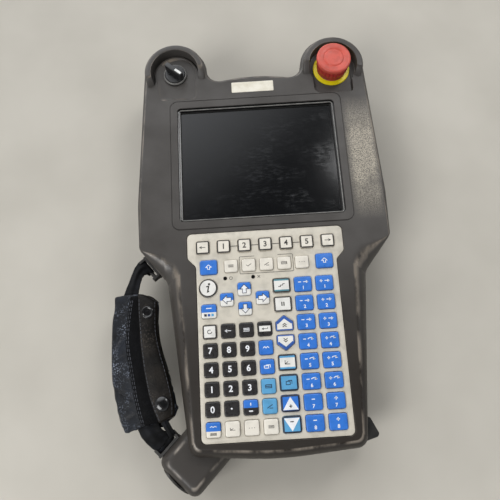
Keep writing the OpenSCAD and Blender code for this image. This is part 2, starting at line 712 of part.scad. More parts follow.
// Switch bodies over the levers, with the ears that hold the pins; the ears stand on the rear shell's floor
module enabling_switches() {
    body_t = 7;
    over = lever_z + lever_high + lever_l * sin(lever_swing) + 0.8;
    color("#33322f") for (s = [-1, 1]) translate([s * lever_x, lever_y, 0]) difference() {
        union() {
            translate([-lever_w / 2 + 1, 8 - lever_l, over]) cube([lever_w - 2, lever_l - 8, body_t]);
            for (t = [-1, 1]) translate([t * (lever_w / 2 + move_gap + ear_t / 2) - ear_t / 2, -4, floor_z])
                cube([ear_t, 8, over + body_t - floor_z]);
            translate([-lever_w / 2 - ear_t - move_gap, -4, over])
                cube([lever_w + 2 * (ear_t + move_gap), 8, body_t]);
        }
        translate([-lever_w, 0, lever_z]) rotate([0, 90, 0])
            cylinder(r = lever_pin_r + 0.02, h = 2 * lever_w);
    }
}

// ---- cable outlet ---------------------------------------------------------------------------
outlet_end = [-tail_x - 12.7, -half_l - 13.3];
outlet_axis_z = 27;
outlet_top = 47;
outlet_low = 8;
// Places children with +x along the outlet's axis, pointing out of its mouth
module outlet_place() { translate([outlet_end.x, outlet_end.y, 0]) rotate([0, 0, 225]) children(); }
module cable_outlet() {
    l = 62;
    module slab(d, z, t) {
        translate([0, 0, z]) linear_extrude(t)
            polygon(rounded([[-l, -outlet_w / 2 + d, 2], [-d, -outlet_w / 2 + d, 7 - d / 2],
                             [-d, outlet_w / 2 - d, 7 - d / 2], [-l, outlet_w / 2 - d, 2]], 5));
    }
    color("#57534e") difference() {
        outlet_place() hull() {
            slab(3, outlet_low, 0.1);
            slab(0, outlet_low + 5, outlet_top - outlet_low - 15);
            slab(1.6, outlet_top - 5, 0.1);
            slab(6.5, outlet_top - 0.1, 0.1);
        }
        // seated against the housing's side
        translate([-0.1, -0.1, 0]) linear_extrude(100) polygon(rounded(side_outline));
        outlet_place() translate([-socket_l - 8, 0, outlet_axis_z]) rotate([0, 90, 0])
            cylinder(r = socket_r + 3, h = 40);
    }
}
// A round panel socket: shell with a flange, closed at its inner end by the contact insert
module cable_connector() {
    color("#b0b2b3")
    outlet_place() translate([-socket_l - 7.9, 0, outlet_axis_z]) rotate([0, 90, 0]) difference() {
        union() {
            cylinder(r = socket_r + 2.9, h = socket_l + 7.8);
            translate([0, 0, socket_l + 8]) cylinder(r = socket_r + 5, h = 1.6);
            translate([0, 0, socket_l + 7]) cylinder(r = socket_r + 2.9, h = 1.5);
        }
        translate([0, 0, 9.6]) cylinder(r = socket_r, h = 40);
        for (a = [0:45:315]) rotate([0, 0, a]) translate([socket_r * 0.62, 0, 3])
            cylinder(r = 0.8, h = 10, $fn = 16);
    }
}

// ---- hand strap -----------------------------------------------------------------------------
// Cross-section stations of the pad: [y, left x, right x]
pad_stations = [[-156, -119, -100], [-151, -122, -82], [-142, -125, -77.5], [-124, -129, -80.5],
                [-104, -130.5, -86], [-86, -130.5, -91.5], [-68, -130, -91.3], [-54, -128.5, -91.5],
                [-47, -127, -96]];
pad_z = 42;
pad_t = 8;
strap_x = 82.5 - waist_x;
function strap_y(y) = upper_anchor.y + (y - upper_anchor.y) * (half_l + upper_anchor.y) / 159.1;
module hand_pad() {
    m = 10;
    // an arched section: the outer edge hangs a little lower than the inner one
    function arch(u, side) = pad_z + side * pad_t / 2 - 5 + 6 * sin(90 * u)
                             - 3 * pow(2 * u - 1, side < 0 ? 4 : 2);
    function across(s, u) = s[1] + (s[2] - s[1]) * u;
    function section(s) = concat([for (k = [0:m]) [across(s, k / m), strap_y(s[0]), arch(k / m, -1)]],
                                 [for (k = [m:-1:0]) [across(s, k / m), strap_y(s[0]), arch(k / m, 1)]]);
    color("#1d1c1b") translate([strap_x, 0, 0]) skin([for (s = pad_stations) section(s)]);
}
module webbing(points, w, t) {
    for (i = [0:len(points) - 2]) hull() for (p = [points[i], points[i + 1]])
        translate([p[0], p[1], p[2]]) rotate([0, 0, p[3]]) cube([w, 0.4, t], center = true);
}
module strap_webbing() {
    color("#141413") {
        webbing([[upper_anchor.x - 3.9, upper_anchor.y - 3.1, anchor_z, anchor_turn],
                 [strap_x - 106.5, strap_y(-30), 36.5, -35], [strap_x - 112, strap_y(-40), 40, -14],
                 [strap_x - 114.5, strap_y(-50), pad_z - 0.5, -5]], 14, 5);
        webbing([[strap_x - 103.5, strap_y(-150), pad_z - 0.5, 0],
                 [strap_x - 101, strap_y(-157), 40.5, 18],
                 [-tail_x - 23.2, 14.4 - half_l, anchor_z, 45]], 17, 5);
    }
}
module snap_fasteners() {
    color("#232222") for (p = [[-100.4, -62.4, 5.2], [-88.8, -135.4, 5.8]])
        translate([strap_x + p.x, strap_y(p.y), pad_z + pad_t / 2 - 0.4]) rotate_extrude()
            polygon([[0, 0], [p[2], 0], [p[2], 1], [p[2] - 1.2, 2.2], [0, 2.6]]);
}
// A plate on the housing with two ears and the bar that the webbing goes round; -y points away
// from the housing
upper_anchor = [7.7 - head_w / 2, -20.9];
anchor_turn = -51.8;
anchor_z = 33;
anchor_w = 21;
anchor_h = 12;
bar_out = 5;
module anchor() {
    translate([-anchor_w / 2, -2.05, -anchor_h / 2]) cube([anchor_w, 2, anchor_h]);
    for (s = [-1, 1]) translate([s * (anchor_w / 2 - 1) - 1, -bar_out - 2.5, -4]) cube([2, bar_out + 1.5, 8]);
    translate([-anchor_w / 2 + 0.5, -bar_out, 0]) rotate([0, 90, 0]) cylinder(r = 1.6, h = anchor_w - 1);
}
module strap_anchors() {
    color("#2a2a29") {
        translate([upper_anchor.x, upper_anchor.y, anchor_z]) rotate([0, 0, anchor_turn]) anchor();
        outlet_place() translate([-14, -outlet_w / 2, anchor_z]) anchor();
    }
}

// ---- fasteners and bumper -------------------------------------------------------------------
module housing_screws() {
    color("#2b2b2b") for (p = screw_at) translate([p.x, p.y, 0]) difference() {
        union() {
            translate([0, 0, screw_head_z - screw_head_t]) cylinder(r = screw_head_r, h = screw_head_t);
            translate([0, 0, screw_head_z - 0.5]) cylinder(r = screw_r, h = front_low + 5 - screw_head_z);
        }
        translate([0, 0, screw_head_z - screw_head_t - 1]) cylinder(r = 1.6, h = 2.8, $fn = 6);
    }
}
module corner_bumper() {
    color("#1c1c1b") difference() {
        translate([0, 0, 24]) linear_extrude(11)
            polygon(rounded([[tail_x - 7.6, 4 - half_l, 2], [tail_x + 14.4, 10 - half_l, 3],
                             [tail_x + 6.4, 27 - half_l, 2]], 4));
        translate([0.1, -0.1, 0]) linear_extrude(100) polygon(rounded(side_outline));
    }
}

front_housing();
rear_housing();
housing_gasket();
key_faceplate();
keypad_mat();
key_board();
display_gasket();
touch_panel();
lcd_module();
main_board();
status_lamps();
stop_bezel();
stop_stem();
stop_head();
stop_contact_block();
selector_bezel();
selector_knob();
selector_pointer();
selector_switch_block();
panel_nuts();
enabling_lever_left();
enabling_lever_right();
enabling_switches();
lever_pins();
cable_outlet();
cable_connector();
strap_webbing();
hand_pad();
snap_fasteners();
strap_anchors();
housing_screws();
corner_bumper();

beige_keys = ["key_function_row", "key_menu_row", "key_row_bottom"];
black_keys = ["key_row_edit", "key_row_789", "key_row_456", "key_row_123", "key_row_0"];
white_keys = ["key_step", "key_hold", "key_info", "key_arrows"];
function among(name, names) = len([for (n = names) if (n == name) n]) > 0;
function key_colour(name) = among(name, beige_keys) ? "#c9c2b3" : among(name, black_keys) ? "#2f2e2e" :
                            among(name, white_keys) ? "#e4e2da" : "#3878d6";
for (group = LAYOUT) color(key_colour(group[0])) keys(group[0]);
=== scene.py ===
import math

import bmesh
import bpy
from mathutils import Matrix, Vector
from mathutils.bvhtree import BVHTree


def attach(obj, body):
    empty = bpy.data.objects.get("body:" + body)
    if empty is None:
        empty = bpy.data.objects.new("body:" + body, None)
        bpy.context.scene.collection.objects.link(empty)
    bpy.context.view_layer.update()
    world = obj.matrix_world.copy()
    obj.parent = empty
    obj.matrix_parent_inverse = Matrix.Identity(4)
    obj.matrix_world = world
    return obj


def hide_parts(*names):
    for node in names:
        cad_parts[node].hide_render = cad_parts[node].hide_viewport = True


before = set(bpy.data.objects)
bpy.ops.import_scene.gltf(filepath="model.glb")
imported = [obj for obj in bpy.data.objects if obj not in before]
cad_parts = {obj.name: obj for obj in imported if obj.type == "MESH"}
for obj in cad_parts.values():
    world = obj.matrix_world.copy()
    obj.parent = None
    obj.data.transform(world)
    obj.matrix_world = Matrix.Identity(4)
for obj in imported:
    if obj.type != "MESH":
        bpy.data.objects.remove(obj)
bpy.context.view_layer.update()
scene = bpy.context.scene

# ---- Camera, lamps and floor ---------------------------------------------------------------------
# A hand-held camera above the grip looks down on the pendant. A broad ceiling panel shines from
# beyond the grip end on the strap's side, and a weaker lamp fills from beyond the head.
MM = 0.001


def linear(hexa):
    """An sRGB hex value as linear RGBA."""
    channels = [int(hexa[i : i + 2], 16) / 255 for i in (1, 3, 5)]
    return *[c / 12.92 if c <= 0.04045 else ((c + 0.055) / 1.055) ** 2.4 for c in channels], 1.0


def add(material, kind, links=None, **settings):
    """Adds one node with its settings; links give its sockets a value, a hex colour or a socket."""
    made = material.node_tree.nodes.new(kind)
    for name, value in settings.items():
        setattr(made, name, value)
    for socket, value in (links or {}).items():
        target = made.inputs[socket]
        if isinstance(value, bpy.types.NodeSocket):
            material.node_tree.links.new(value, target)
        else:
            target.default_value = linear(value) if isinstance(value, str) else value
    return made


def surface(name, colour, roughness, **sockets):
    """A new material and its Principled shader, with plain values on the shader's own sockets."""
    material = bpy.data.materials.new(name)
    material.use_nodes = True
    shader = material.node_tree.nodes["Principled BSDF"]
    shader.inputs["Base Color"].default_value = linear(colour)
    shader.inputs["Roughness"].default_value = roughness
    for socket, value in sockets.items():
        shader.inputs[socket.replace("_", " ")].default_value = value
    return material, shader


def drive(material, shader, **sockets):
    """Links sockets of the shader from other nodes."""
    for socket, value in sockets.items():
        material.node_tree.links.new(value, shader.inputs[socket.replace("_", " ")])


def per_mm(size):
    """Texture scale for a pattern whose features are this many millimetres wide."""
    return 1 / (size * MM)


def mottle(material, size, low, high, detail=3.0, stretch=(1, 1, 1)):
    """A cloudy 0-to-1 value whose patches are about size millimetres wide."""
    place = add(material, "ShaderNodeTexCoord")
    scaled = add(
        material, "ShaderNodeMapping", {"Vector": place.outputs["Object"], "Scale": stretch}
    )
    noise = add(
        material,
        "ShaderNodeTexNoise",
        {"Vector": scaled.outputs["Vector"], "Scale": per_mm(size), "Detail": detail},
    )
    ranged = add(
        material,
        "ShaderNodeMapRange",
        {"Value": noise.outputs["Fac"], "From Min": low, "From Max": high},
    )
    return ranged.outputs["Result"]


def layered(material, colour, *coats):
    """A colour with others laid over it; each coat is (0-to-1 share, colour)."""
    for share, coat in coats:
        links = {"Factor": share, 6: colour, 7: coat}
        colour = add(material, "ShaderNodeMix", links, data_type="RGBA").outputs[2]
    return colour


def product(material, value, *shares):
    """A 0-to-1 value narrowed by others, each a number or a socket."""
    for share in shares:
        links = {0: value, 1: share}
        value = add(material, "ShaderNodeMath", links, operation="MULTIPLY").outputs[0]
    return value


def grain(material, shader, size, height):
    """Fine relief from a noise of this size and height, both in millimetres."""
    place = add(material, "ShaderNodeTexCoord")
    noise = add(
        material,
        "ShaderNodeTexNoise",
        {"Vector": place.outputs["Object"], "Scale": per_mm(size), "Detail": 2.0},
    )
    bump = add(
        material,
        "ShaderNodeBump",
        {"Height": noise.outputs["Fac"], "Distance": height * MM, "Strength": 1.0},
    )
    drive(material, shader, Normal=bump.outputs["Normal"])


def patchy(name, colour, roughness, patches, tones, relief=None, **sockets):
    """A material whose two tones lie in patches (size, low, high), with a grain (size, height)."""
    material, shader = surface(name, colour, roughness, **sockets)
    base = layered(material, tones[0], (mottle(material, *patches), tones[1]))
    drive(material, shader, Base_Color=base)
    if relief:
        grain(material, shader, *relief)
    return material


CAMERA_AT = Vector((-12.8, -118.7, 440.9)) * MM
LENS, SENSOR = 34.56, 36
CAMERA_TURNS = (("X", -0.257305), ("Y", -0.0151381), ("Z", 0.0595790))  # radians
turn_x, turn_y, turn_z = (Matrix.Rotation(turn, 3, axis) for axis, turn in CAMERA_TURNS)
view_turn = turn_x @ turn_y @ turn_z
camera = bpy.data.objects.new("camera", bpy.data.cameras.new("camera"))
camera.data.lens = LENS
camera.data.sensor_width = SENSOR
camera.data.clip_start = 0.01
camera.matrix_world = Matrix.Translation(CAMERA_AT) @ view_turn.transposed().to_4x4()
scene.collection.objects.link(camera)
scene.camera = camera
scene.view_settings.view_transform = "Standard"


def lamp(name, at, size, power):
    """A rectangular area lamp that faces the middle of the pendant."""
    light = bpy.data.lights.new(name, "AREA")
    light.shape = "RECTANGLE"
    light.size, light.size_y = size
    light.energy = power
    body = bpy.data.objects.new(name, light)
    body.location = at
    body.rotation_euler = (-Vector(at)).to_track_quat("-Z", "Y").to_euler()
    scene.collection.objects.link(body)


lamp("ceiling_panel", (-0.95, -0.85, 1.25), (0.9, 0.65), 14.5)
lamp("side_fill", (0.52, 0.6, 1.06), (0.3, 0.45), 3.6)

world = bpy.data.worlds.new("studio")
world.use_nodes = True
backdrop = world.node_tree.nodes["Background"]
backdrop.inputs["Color"].default_value = linear("#eff1f4")
# the room is dim straight overhead and brightest low down and beyond the head
BEYOND_HEAD = (-0.35, 0.75, 0.56)
look = add(world, "ShaderNodeTexCoord")
high = add(world, "ShaderNodeSeparateXYZ", {"Vector": look.outputs["Generated"]})
room = add(
    world,
    "ShaderNodeMapRange",
    {"Value": high.outputs["Z"], "From Min": 0.5, "From Max": 0.92, "To Min": 0.65, "To Max": 0.1},
)
beyond = add(
    world,
    "ShaderNodeVectorMath",
    {0: look.outputs["Generated"], 1: BEYOND_HEAD},
    operation="DOT_PRODUCT",
)
glow = add(
    world,
    "ShaderNodeMapRange",
    {"Value": beyond.outputs["Value"], "From Min": 0.8, "From Max": 0.92, "To Max": 2.2},
)
light = add(world, "ShaderNodeMath", {0: room.outputs["Result"], 1: glow.outputs["Result"]})
world.node_tree.links.new(light.outputs[0], backdrop.inputs["Strength"])
scene.world = world

FLOOR = 3  # metres from its middle to each side
# Matt pale paper: it mirrors nothing and has broad faint patches
paper = patchy("matt_studio_floor", "#beb9af", 0.75, (90, 0.35, 0.65), ("#b9b4a9", "#c1bcb1"))
floor_mesh = bpy.data.meshes.new("floor")
floor_corners = [(x * FLOOR, y * FLOOR, 0) for x, y in ((-1, -1), (1, -1), (1, 1), (-1, 1))]
floor_mesh.from_pydata(floor_corners, [], [(0, 1, 2, 3)])
floor = bpy.data.objects.new("floor", floor_mesh)
scene.collection.objects.link(floor)
floor_mesh.materials.append(paper)

# ---- Front shell ---------------------------------------------------------------------------------
# Injection-moulded ABS with a spark-eroded grain: one deep tray with two round lobes, horseshoe
# guards, the pockets of the two devices and the recesses of display and keypad. Ten screws hold it.
FRONT = 61  # height of the flat face above the floor
PARTING, SEAM = 38, 0.8  # height and thickness of the gasket between the shells
WALL, FACE_T = 3, 3.4
LOBE_R = 27
STOP_LOBE, SELECTOR_LOBE = (72, 148), (-70.3, 149.5)
HALF_L = 180
HEAD_X, WAIST_X, TAIL_X = 105, 82.5, 67.6  # half widths of head, waist and lower end
HEAD_EDGE, GRIP_EDGE = 3.5, 14  # the shoulder's rounding at the head and at the grip
VALLEY_Y, CROWN_Y = HALF_L - 39.7, HALF_L - 33.6


def joined(right, left):
    """Closed outline corners [x, y, radius] from two halves; the left one is given mirrored."""
    return right + [(-x, y, r) for x, y, r in left[-2:0:-1]]


def corner_points(a, b, c, steps):
    """The arc that rounds corner b between its neighbours a and c."""
    here = Vector(b[:2])
    u = (Vector(a[:2]) - here).normalized()
    v = (Vector(c[:2]) - here).normalized()
    half = math.acos(max(-1, min(1, u.dot(v)))) / 2
    centre = here + (u + v).normalized() * b[2] / math.sin(half)
    start = here + u * b[2] / math.tan(half) - centre
    finish = here + v * b[2] / math.tan(half) - centre
    begin = math.atan2(start.y, start.x)
    turn = (math.atan2(finish.y, finish.x) - begin + 3 * math.pi) % (2 * math.pi) - math.pi
    angles = [begin + turn * k / steps for k in range(steps + 1)]
    return [centre + b[2] * Vector((math.cos(angle), math.sin(angle))) for angle in angles]


def rounded(corners, steps=8):
    """The points of a closed outline, with every corner rounded."""
    n = len(corners)
    return [
        tuple(p)
        for i in range(n)
        for p in corner_points(corners[i - 1], corners[i], corners[(i + 1) % n], steps)
    ]


def grown(corners, d):
    """The corners of the outline moved outward by d, or inward where d is negative."""
    n = len(corners)
    out = []
    for i in range(n):
        a, b, c = (Vector(corners[k % n][:2]) for k in (i - 1, i, i + 1))
        e, f = (b - a).normalized(), (c - b).normalized()
        n1, n2 = Vector((e.y, -e.x)), Vector((f.y, -f.x))
        p = b + (n1 + n2) * d / (1 + n1.dot(n2))
        convex = e.x * f.y - e.y * f.x > 0
        out.append((p.x, p.y, max(corners[i][2] + (d if convex else -d), 0.15)))
    return out


def level(points, z):
    """Flat points lifted to one height."""
    return [(x, y, z) for x, y in points]


def loft(form, rings, material=0):
    """Adds a skin through rings of equally many points, with its two ends closed."""
    rows = [[form.verts.new(Vector(p) * MM) for p in ring] for ring in rings]
    n = len(rows[0])
    for below, above in zip(rows, rows[1:]):
        for i in range(n):
            j = (i + 1) % n
            form.faces.new((below[i], below[j], above[j], above[i])).material_index = material
    form.faces.new(rows[0][::-1]).material_index = material
    form.faces.new(rows[-1]).material_index = material
    return rows


def prism(form, corners, profile, steps=8, material=0):
    """Adds a solid whose outline grows by d at each height: profile is a list of (d, z)."""
    loft(form, [level(rounded(grown(corners, d), steps), z) for d, z in profile], material)


def box_corners(w, h, r, mid=(0, 0)):
    """The corners of a rectangle w wide and h high, all rounded by r."""
    x, y = mid
    return [
        (x - w / 2, y - h / 2, r),
        (x + w / 2, y - h / 2, r),
        (x + w / 2, y + h / 2, r),
        (x - w / 2, y + h / 2, r),
    ]


def lathe(form, profile, at=(0, 0), steps=64, material=0):
    """Adds a solid of revolution about a vertical axis; profile is a list of (radius, z)."""
    turns = [2 * math.pi * k / steps for k in range(steps)]
    rings = [
        [(at[0] + r * math.cos(turn), at[1] + r * math.sin(turn), z) for turn in turns]
        for r, z in profile
    ]
    loft(form, rings, material)


def to_mesh(name, form):
    """Ends the form as a mesh whose faces look outward."""
    bmesh.ops.recalc_face_normals(form, faces=form.faces)
    mesh = bpy.data.meshes.new(name)
    form.to_mesh(mesh)
    form.free()
    return mesh


def combine(form, tool, operation):
    """The first form joined with or cut by the second, as a new form."""
    bodies = []
    for name, part in (("work", form), ("tool", tool)):
        body = bpy.data.objects.new(name, to_mesh(name, part))
        scene.collection.objects.link(body)
        bodies.append(body)
    cutting = bodies[0].modifiers.new("combine", "BOOLEAN")
    cutting.operation = operation
    cutting.object = bodies[1]
    cutting.solver = "MANIFOLD"
    result = bmesh.new()
    evaluated = bodies[0].evaluated_get(bpy.context.evaluated_depsgraph_get())
    result.from_mesh(evaluated.to_mesh())
    evaluated.to_mesh_clear()
    for body in bodies:
        mesh = body.data
        bpy.data.objects.remove(body)
        bpy.data.meshes.remove(mesh)
    return result


def solid(shape, *how, **sizes):
    """A new form with one solid; shape is the function that adds it, such as prism or lathe."""
    form = bmesh.new()
    shape(form, *how, **sizes)
    return form


def cut(form, shape, *how, **sizes):
    """The form with one such solid cut away."""
    return combine(form, solid(shape, *how, **sizes), "DIFFERENCE")


def fuse(form, shape, *how, **sizes):
    """The form with one such solid joined to it."""
    return combine(form, solid(shape, *how, **sizes), "UNION")


def finish_piece(name, form, materials, body="housing", replaces=(), angle=32):
    mesh = to_mesh(name, form)
    for material in materials:
        mesh.materials.append(material)
    mesh.shade_smooth()
    mesh.set_sharp_from_angle(angle=math.radians(angle))
    made = bpy.data.objects.new(name, mesh)
    scene.collection.objects.link(made)
    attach(made, body)
    if replaces:
        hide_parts(*replaces)
    return made


def even_normals(made):
    """Keeps flat faces flat beside their rounded edges."""
    made.modifiers.new("even", "WEIGHTED_NORMAL").keep_sharp = True


def side_half(lobe):
    """Half of the shell's outline at the side wall; lobe is the lobe's distance from the middle."""
    return [
        (0, -HALF_L - 0.5, 300),
        (TAIL_X, -HALF_L + 4.8, 9),
        (WAIST_X, -39.5, 14),
        (HEAD_X - 0.5, -11.5, 9),
        (HEAD_X + 0.2, 27, 150),
        (lobe + LOBE_R + 0.2, HALF_L - 0.5, LOBE_R),
        (lobe - LOBE_R - 0.2, HALF_L - 0.5, LOBE_R),
        (lobe - LOBE_R - 1.9, VALLEY_Y, 11.5),
        (0, CROWN_Y, 150),
    ]


def face_half(lobe):
    """Half of the outline of the flat front face, inside the shoulder's rounding."""
    return [
        (0, -HALF_L + 8.5, 300),
        (TAIL_X - 6.3, -HALF_L + 12.5, 5),
        (WAIST_X - 13.5, -20.5, 18),
        (HEAD_X - HEAD_EDGE + 0.3, -13.6, 3.5),
        (HEAD_X - HEAD_EDGE + 0.4, 27, 150),
        (lobe + LOBE_R - HEAD_EDGE + 0.2, HALF_L - 0.5 - HEAD_EDGE, LOBE_R - HEAD_EDGE),
        (lobe - LOBE_R + HEAD_EDGE - 0.2, HALF_L - 0.5 - HEAD_EDGE, LOBE_R - HEAD_EDGE),
        (lobe - LOBE_R + HEAD_EDGE - 1.9, VALLEY_Y - HEAD_EDGE, 11.5 + HEAD_EDGE),
        (0, CROWN_Y - HEAD_EDGE, 150),
    ]


side_corners = joined(side_half(STOP_LOBE[0]), side_half(-SELECTOR_LOBE[0]))
face_corners = joined(face_half(STOP_LOBE[0]), face_half(-SELECTOR_LOBE[0]))
ARC = 12  # steps in each rounded corner of the two outlines
half_drops = [GRIP_EDGE] * 3 + [6] + [HEAD_EDGE] * 5
drops = [drop for drop in half_drops + half_drops[-2:0:-1] for _ in range(ARC + 1)]


def shoulder_rings(side, face, top, turns):
    """The wide rounding from the side wall up to the flat front face, a quarter ellipse."""
    rings = []
    for turn in turns:
        s, c = math.sin(math.radians(turn)), math.cos(math.radians(turn))
        rings.append(
            [
                (f[0] + (o[0] - f[0]) * s, f[1] + (o[1] - f[1]) * s, top - d * (1 - c))
                for o, f, d in zip(side, face, drops)
            ]
        )
    return rings


def shell_form(inward, low, top, turns):
    """The shell's outer form, or its inside where inward is the wall's thickness."""
    side = rounded(grown(side_corners, -inward), ARC)
    face = rounded(grown(face_corners, -inward), ARC)
    form = bmesh.new()
    loft(form, [level(side, low)] + shoulder_rings(side, face, top, turns))
    return form


front_low = PARTING + SEAM / 2
shell = shell_form(0, front_low, FRONT, [90 - 7.5 * k for k in range(13)])
inner = shell_form(WALL, front_low - 1, FRONT - FACE_T, [90, 60, 30, 0])
shell = combine(shell, inner, "DIFFERENCE")

# The guard's section follows the lobe round: its outer wall carries on the shell's side, its top is
# flat, and it sinks into the face at both ends
GUARD_IN, GUARD_OUT, GUARD_TOP = 20.9, 26.7, 68.5
GUARD_FROM, GUARD_TO = -14, 206


def guard(form, middle, side):
    """Adds a horseshoe; side is 1 at the right lobe and -1 at the left one, which is mirrored."""
    rings = []
    steps = 60
    foot = FRONT - FACE_T
    for k in range(steps + 1):
        share = k / steps
        angle = math.radians(GUARD_FROM + (GUARD_TO - GUARD_FROM) * share)
        inner_end = min(1, share / 0.13)  # the end beside the display runs out in a ramp
        outer_end = min(1, (1 - share) / 0.07)  # the end at the outer side is short and steep
        rise = (GUARD_TOP - FRONT) * math.sin(math.pi / 2 * min(inner_end, outer_end)) ** 0.8
        top = FRONT - 0.1 + rise
        section = [
            (GUARD_IN, foot),
            (GUARD_IN, FRONT - 0.2),
            (GUARD_IN + 0.1, top - 0.7),
            (GUARD_IN + 0.35, top - 0.22),
            (GUARD_IN + 0.8, top),
            (GUARD_IN + 2.6, top + 0.05),
            (GUARD_OUT - 1.3, top - 0.12),
            (GUARD_OUT - 0.6, top - 0.5),
            (GUARD_OUT - 0.15, top - 1.2),
            (GUARD_OUT + 0.05, top - 2.2),
            (GUARD_OUT + 0.3, FRONT - 0.9),
            (GUARD_OUT + 0.3, foot),
        ]
        rings.append(
            [
                (middle[0] - side * r * math.cos(angle), middle[1] + r * math.sin(angle), z)
                for r, z in section
            ]
        )
    loft(form, rings)


shell = fuse(shell, guard, STOP_LOBE, 1)
shell = fuse(shell, guard, SELECTOR_LOBE, -1)

# thick plates under the face carry the two devices
STOP_AT, SELECTOR_AT = (71.3, 147.5), (-70.5, 149.5)
STOP_FLOOR, SELECTOR_FLOOR = FRONT - 3, FRONT - 1
STOP_PLATE, SELECTOR_PLATE = 3.4, 5
STOP_PLATE_R, SELECTOR_PLATE_R = 22, 25
stop_box = [(54.1, 122.8, 6), (88.5, 122.8, 2.5), (88.5, 147, 3), (54.1, 147, 3)]
plates = bmesh.new()
stop_disc = [(STOP_PLATE_R, STOP_FLOOR - STOP_PLATE), (STOP_PLATE_R, STOP_FLOOR + 0.2)]
lathe(plates, stop_disc, STOP_AT)
selector_low, selector_high = SELECTOR_FLOOR - SELECTOR_PLATE, SELECTOR_FLOOR + 0.5
selector_disc = [(SELECTOR_PLATE_R, selector_low), (SELECTOR_PLATE_R, selector_high)]
lathe(plates, selector_disc, SELECTOR_LOBE)
shell = combine(shell, plates, "UNION")
box_plate = box_corners(37, 36, 5, (STOP_AT[0], STOP_AT[1] - 8))
shell = fuse(shell, prism, box_plate, [(0, STOP_FLOOR - STOP_PLATE), (0, STOP_FLOOR + 0.5)])

PLATE_LOW_X, PLATE_X = 57.3, 64  # half widths of the faceplate, low down and at its head
PLATE_TOP_Y, PLATE_LOW_Y = -2, -165.3
PLATE_Z, PLATE_T = FRONT - 0.4, 2
plate_corners = [
    (-PLATE_LOW_X, PLATE_LOW_Y, 4),
    (PLATE_LOW_X, PLATE_LOW_Y, 4),
    (PLATE_LOW_X, -30, 4),
    (PLATE_X, -23, 4),
    (PLATE_X, PLATE_TOP_Y, 4),
    (-PLATE_X, PLATE_TOP_Y, 4),
    (-PLATE_X, -23, 4),
    (-PLATE_LOW_X, -30, 4),
]
WINDOW_W, WINDOW_H, WINDOW_Y = 134.4, 101.4, 62
window_mid = (0, WINDOW_Y)
GLASS_TOP = FRONT - 4.2
GLASS_W, GLASS_H, GLASS_T = WINDOW_W + 9, WINDOW_H + 9, 2
BOARD_TOP = 54.6
seats = bmesh.new()
prism(seats, grown(plate_corners, 2), [(0, BOARD_TOP), (0, FRONT - 2.9)], steps=3)
glass_seat = box_corners(GLASS_W + 5, GLASS_H + 5, 4, window_mid)
prism(seats, glass_seat, [(0, GLASS_TOP - 2), (0, FRONT - 1)])
shell = combine(shell, seats, "UNION")
# a raised frame surrounds the display, and a narrow groove runs round it
FRAME_RISE = 0.45
frame_corners = box_corners(150.4, 118.6, 6, window_mid)
frame_side = [(0.35, FRONT - 1), (0.35, FRONT), (0.25, FRONT + 0.2), (0.1, FRONT + 0.38)]
shell = fuse(shell, prism, frame_corners, frame_side + [(-0.3, FRONT + FRAME_RISE)])
groove = solid(prism, frame_corners, [(0.95, FRONT - 0.5), (1.05, FRONT + 1)])
groove = cut(groove, prism, frame_corners, [(0.3, FRONT - 1), (0.3, FRONT + 2)])
shell = combine(shell, groove, "DIFFERENCE")


def pocket(floor, floor_round, rim):
    """The growth and heights of a moulded pocket, with a rounded floor and a rounded rim."""
    turns = [math.radians(a) for a in (0, 30, 60, 90)]
    low = [
        (-floor_round * (1 - math.sin(t)), floor + floor_round * (1 - math.cos(t))) for t in turns
    ]
    high = [(rim * (1 - math.cos(t)), FRONT - rim + rim * math.sin(t)) for t in turns]
    return low + high[:-1] + [(rim, FRONT + 0.02), (rim, FRONT + 9)]


# the faceplate and the keys' board drop into their recesses
recess = pocket(PLATE_Z - PLATE_T, floor_round=0.05, rim=0.35)
shell = cut(shell, prism, grown(plate_corners, 0.35), recess, steps=6)
recess = [(0, BOARD_TOP - 1), (0, PLATE_Z)]
shell = cut(shell, prism, grown(plate_corners, -1), recess, steps=3)
# a sloped ledge leads down to the display's window
LEDGE = 2.1
window_corners = box_corners(WINDOW_W, WINDOW_H, 1, window_mid)
ledge = [(0, GLASS_TOP + 1), (0, FRONT - 2.3), (LEDGE, FRONT - 1.58), (LEDGE + 0.1, FRONT - 0.1)]
ledge += [(LEDGE + 0.4, FRONT + FRAME_RISE), (LEDGE + 0.4, FRONT + 9)]
shell = cut(shell, prism, window_corners, ledge)
window = [(0, GLASS_TOP - 3), (0, GLASS_TOP + 1.6), (0.6, FRONT)]
shell = cut(shell, prism, box_corners(WINDOW_W, WINDOW_H, 1.5, window_mid), window)
# the glass lies behind the window; a round hole takes the barrel of each device
STOP_HOLE_R, SELECTOR_HOLE_R = 8.4, 7.4
HOLE_LOW, HOLE_HIGH = 30, 64
glass_corners = box_corners(GLASS_W + 0.6, GLASS_H + 0.6, 2, window_mid)
cuts = solid(prism, glass_corners, [(0, GLASS_TOP - GLASS_T - 9), (0, GLASS_TOP + 0.7)])
lathe(cuts, [(STOP_HOLE_R, HOLE_LOW), (STOP_HOLE_R, HOLE_HIGH)], STOP_AT)
shell = combine(shell, cuts, "DIFFERENCE")
# the emergency stop's pocket: the round inside of the guard joined to a box below it
stop_round = [
    (GUARD_IN - 0.5, STOP_FLOOR),
    (GUARD_IN - 0.15, STOP_FLOOR + 0.15),
    (GUARD_IN, STOP_FLOOR + 0.5),
    (GUARD_IN, FRONT + 19),
]
shell = cut(shell, lathe, stop_round, STOP_LOBE, steps=96)
shell = cut(shell, prism, stop_box, pocket(STOP_FLOOR, floor_round=0.5, rim=0.45))
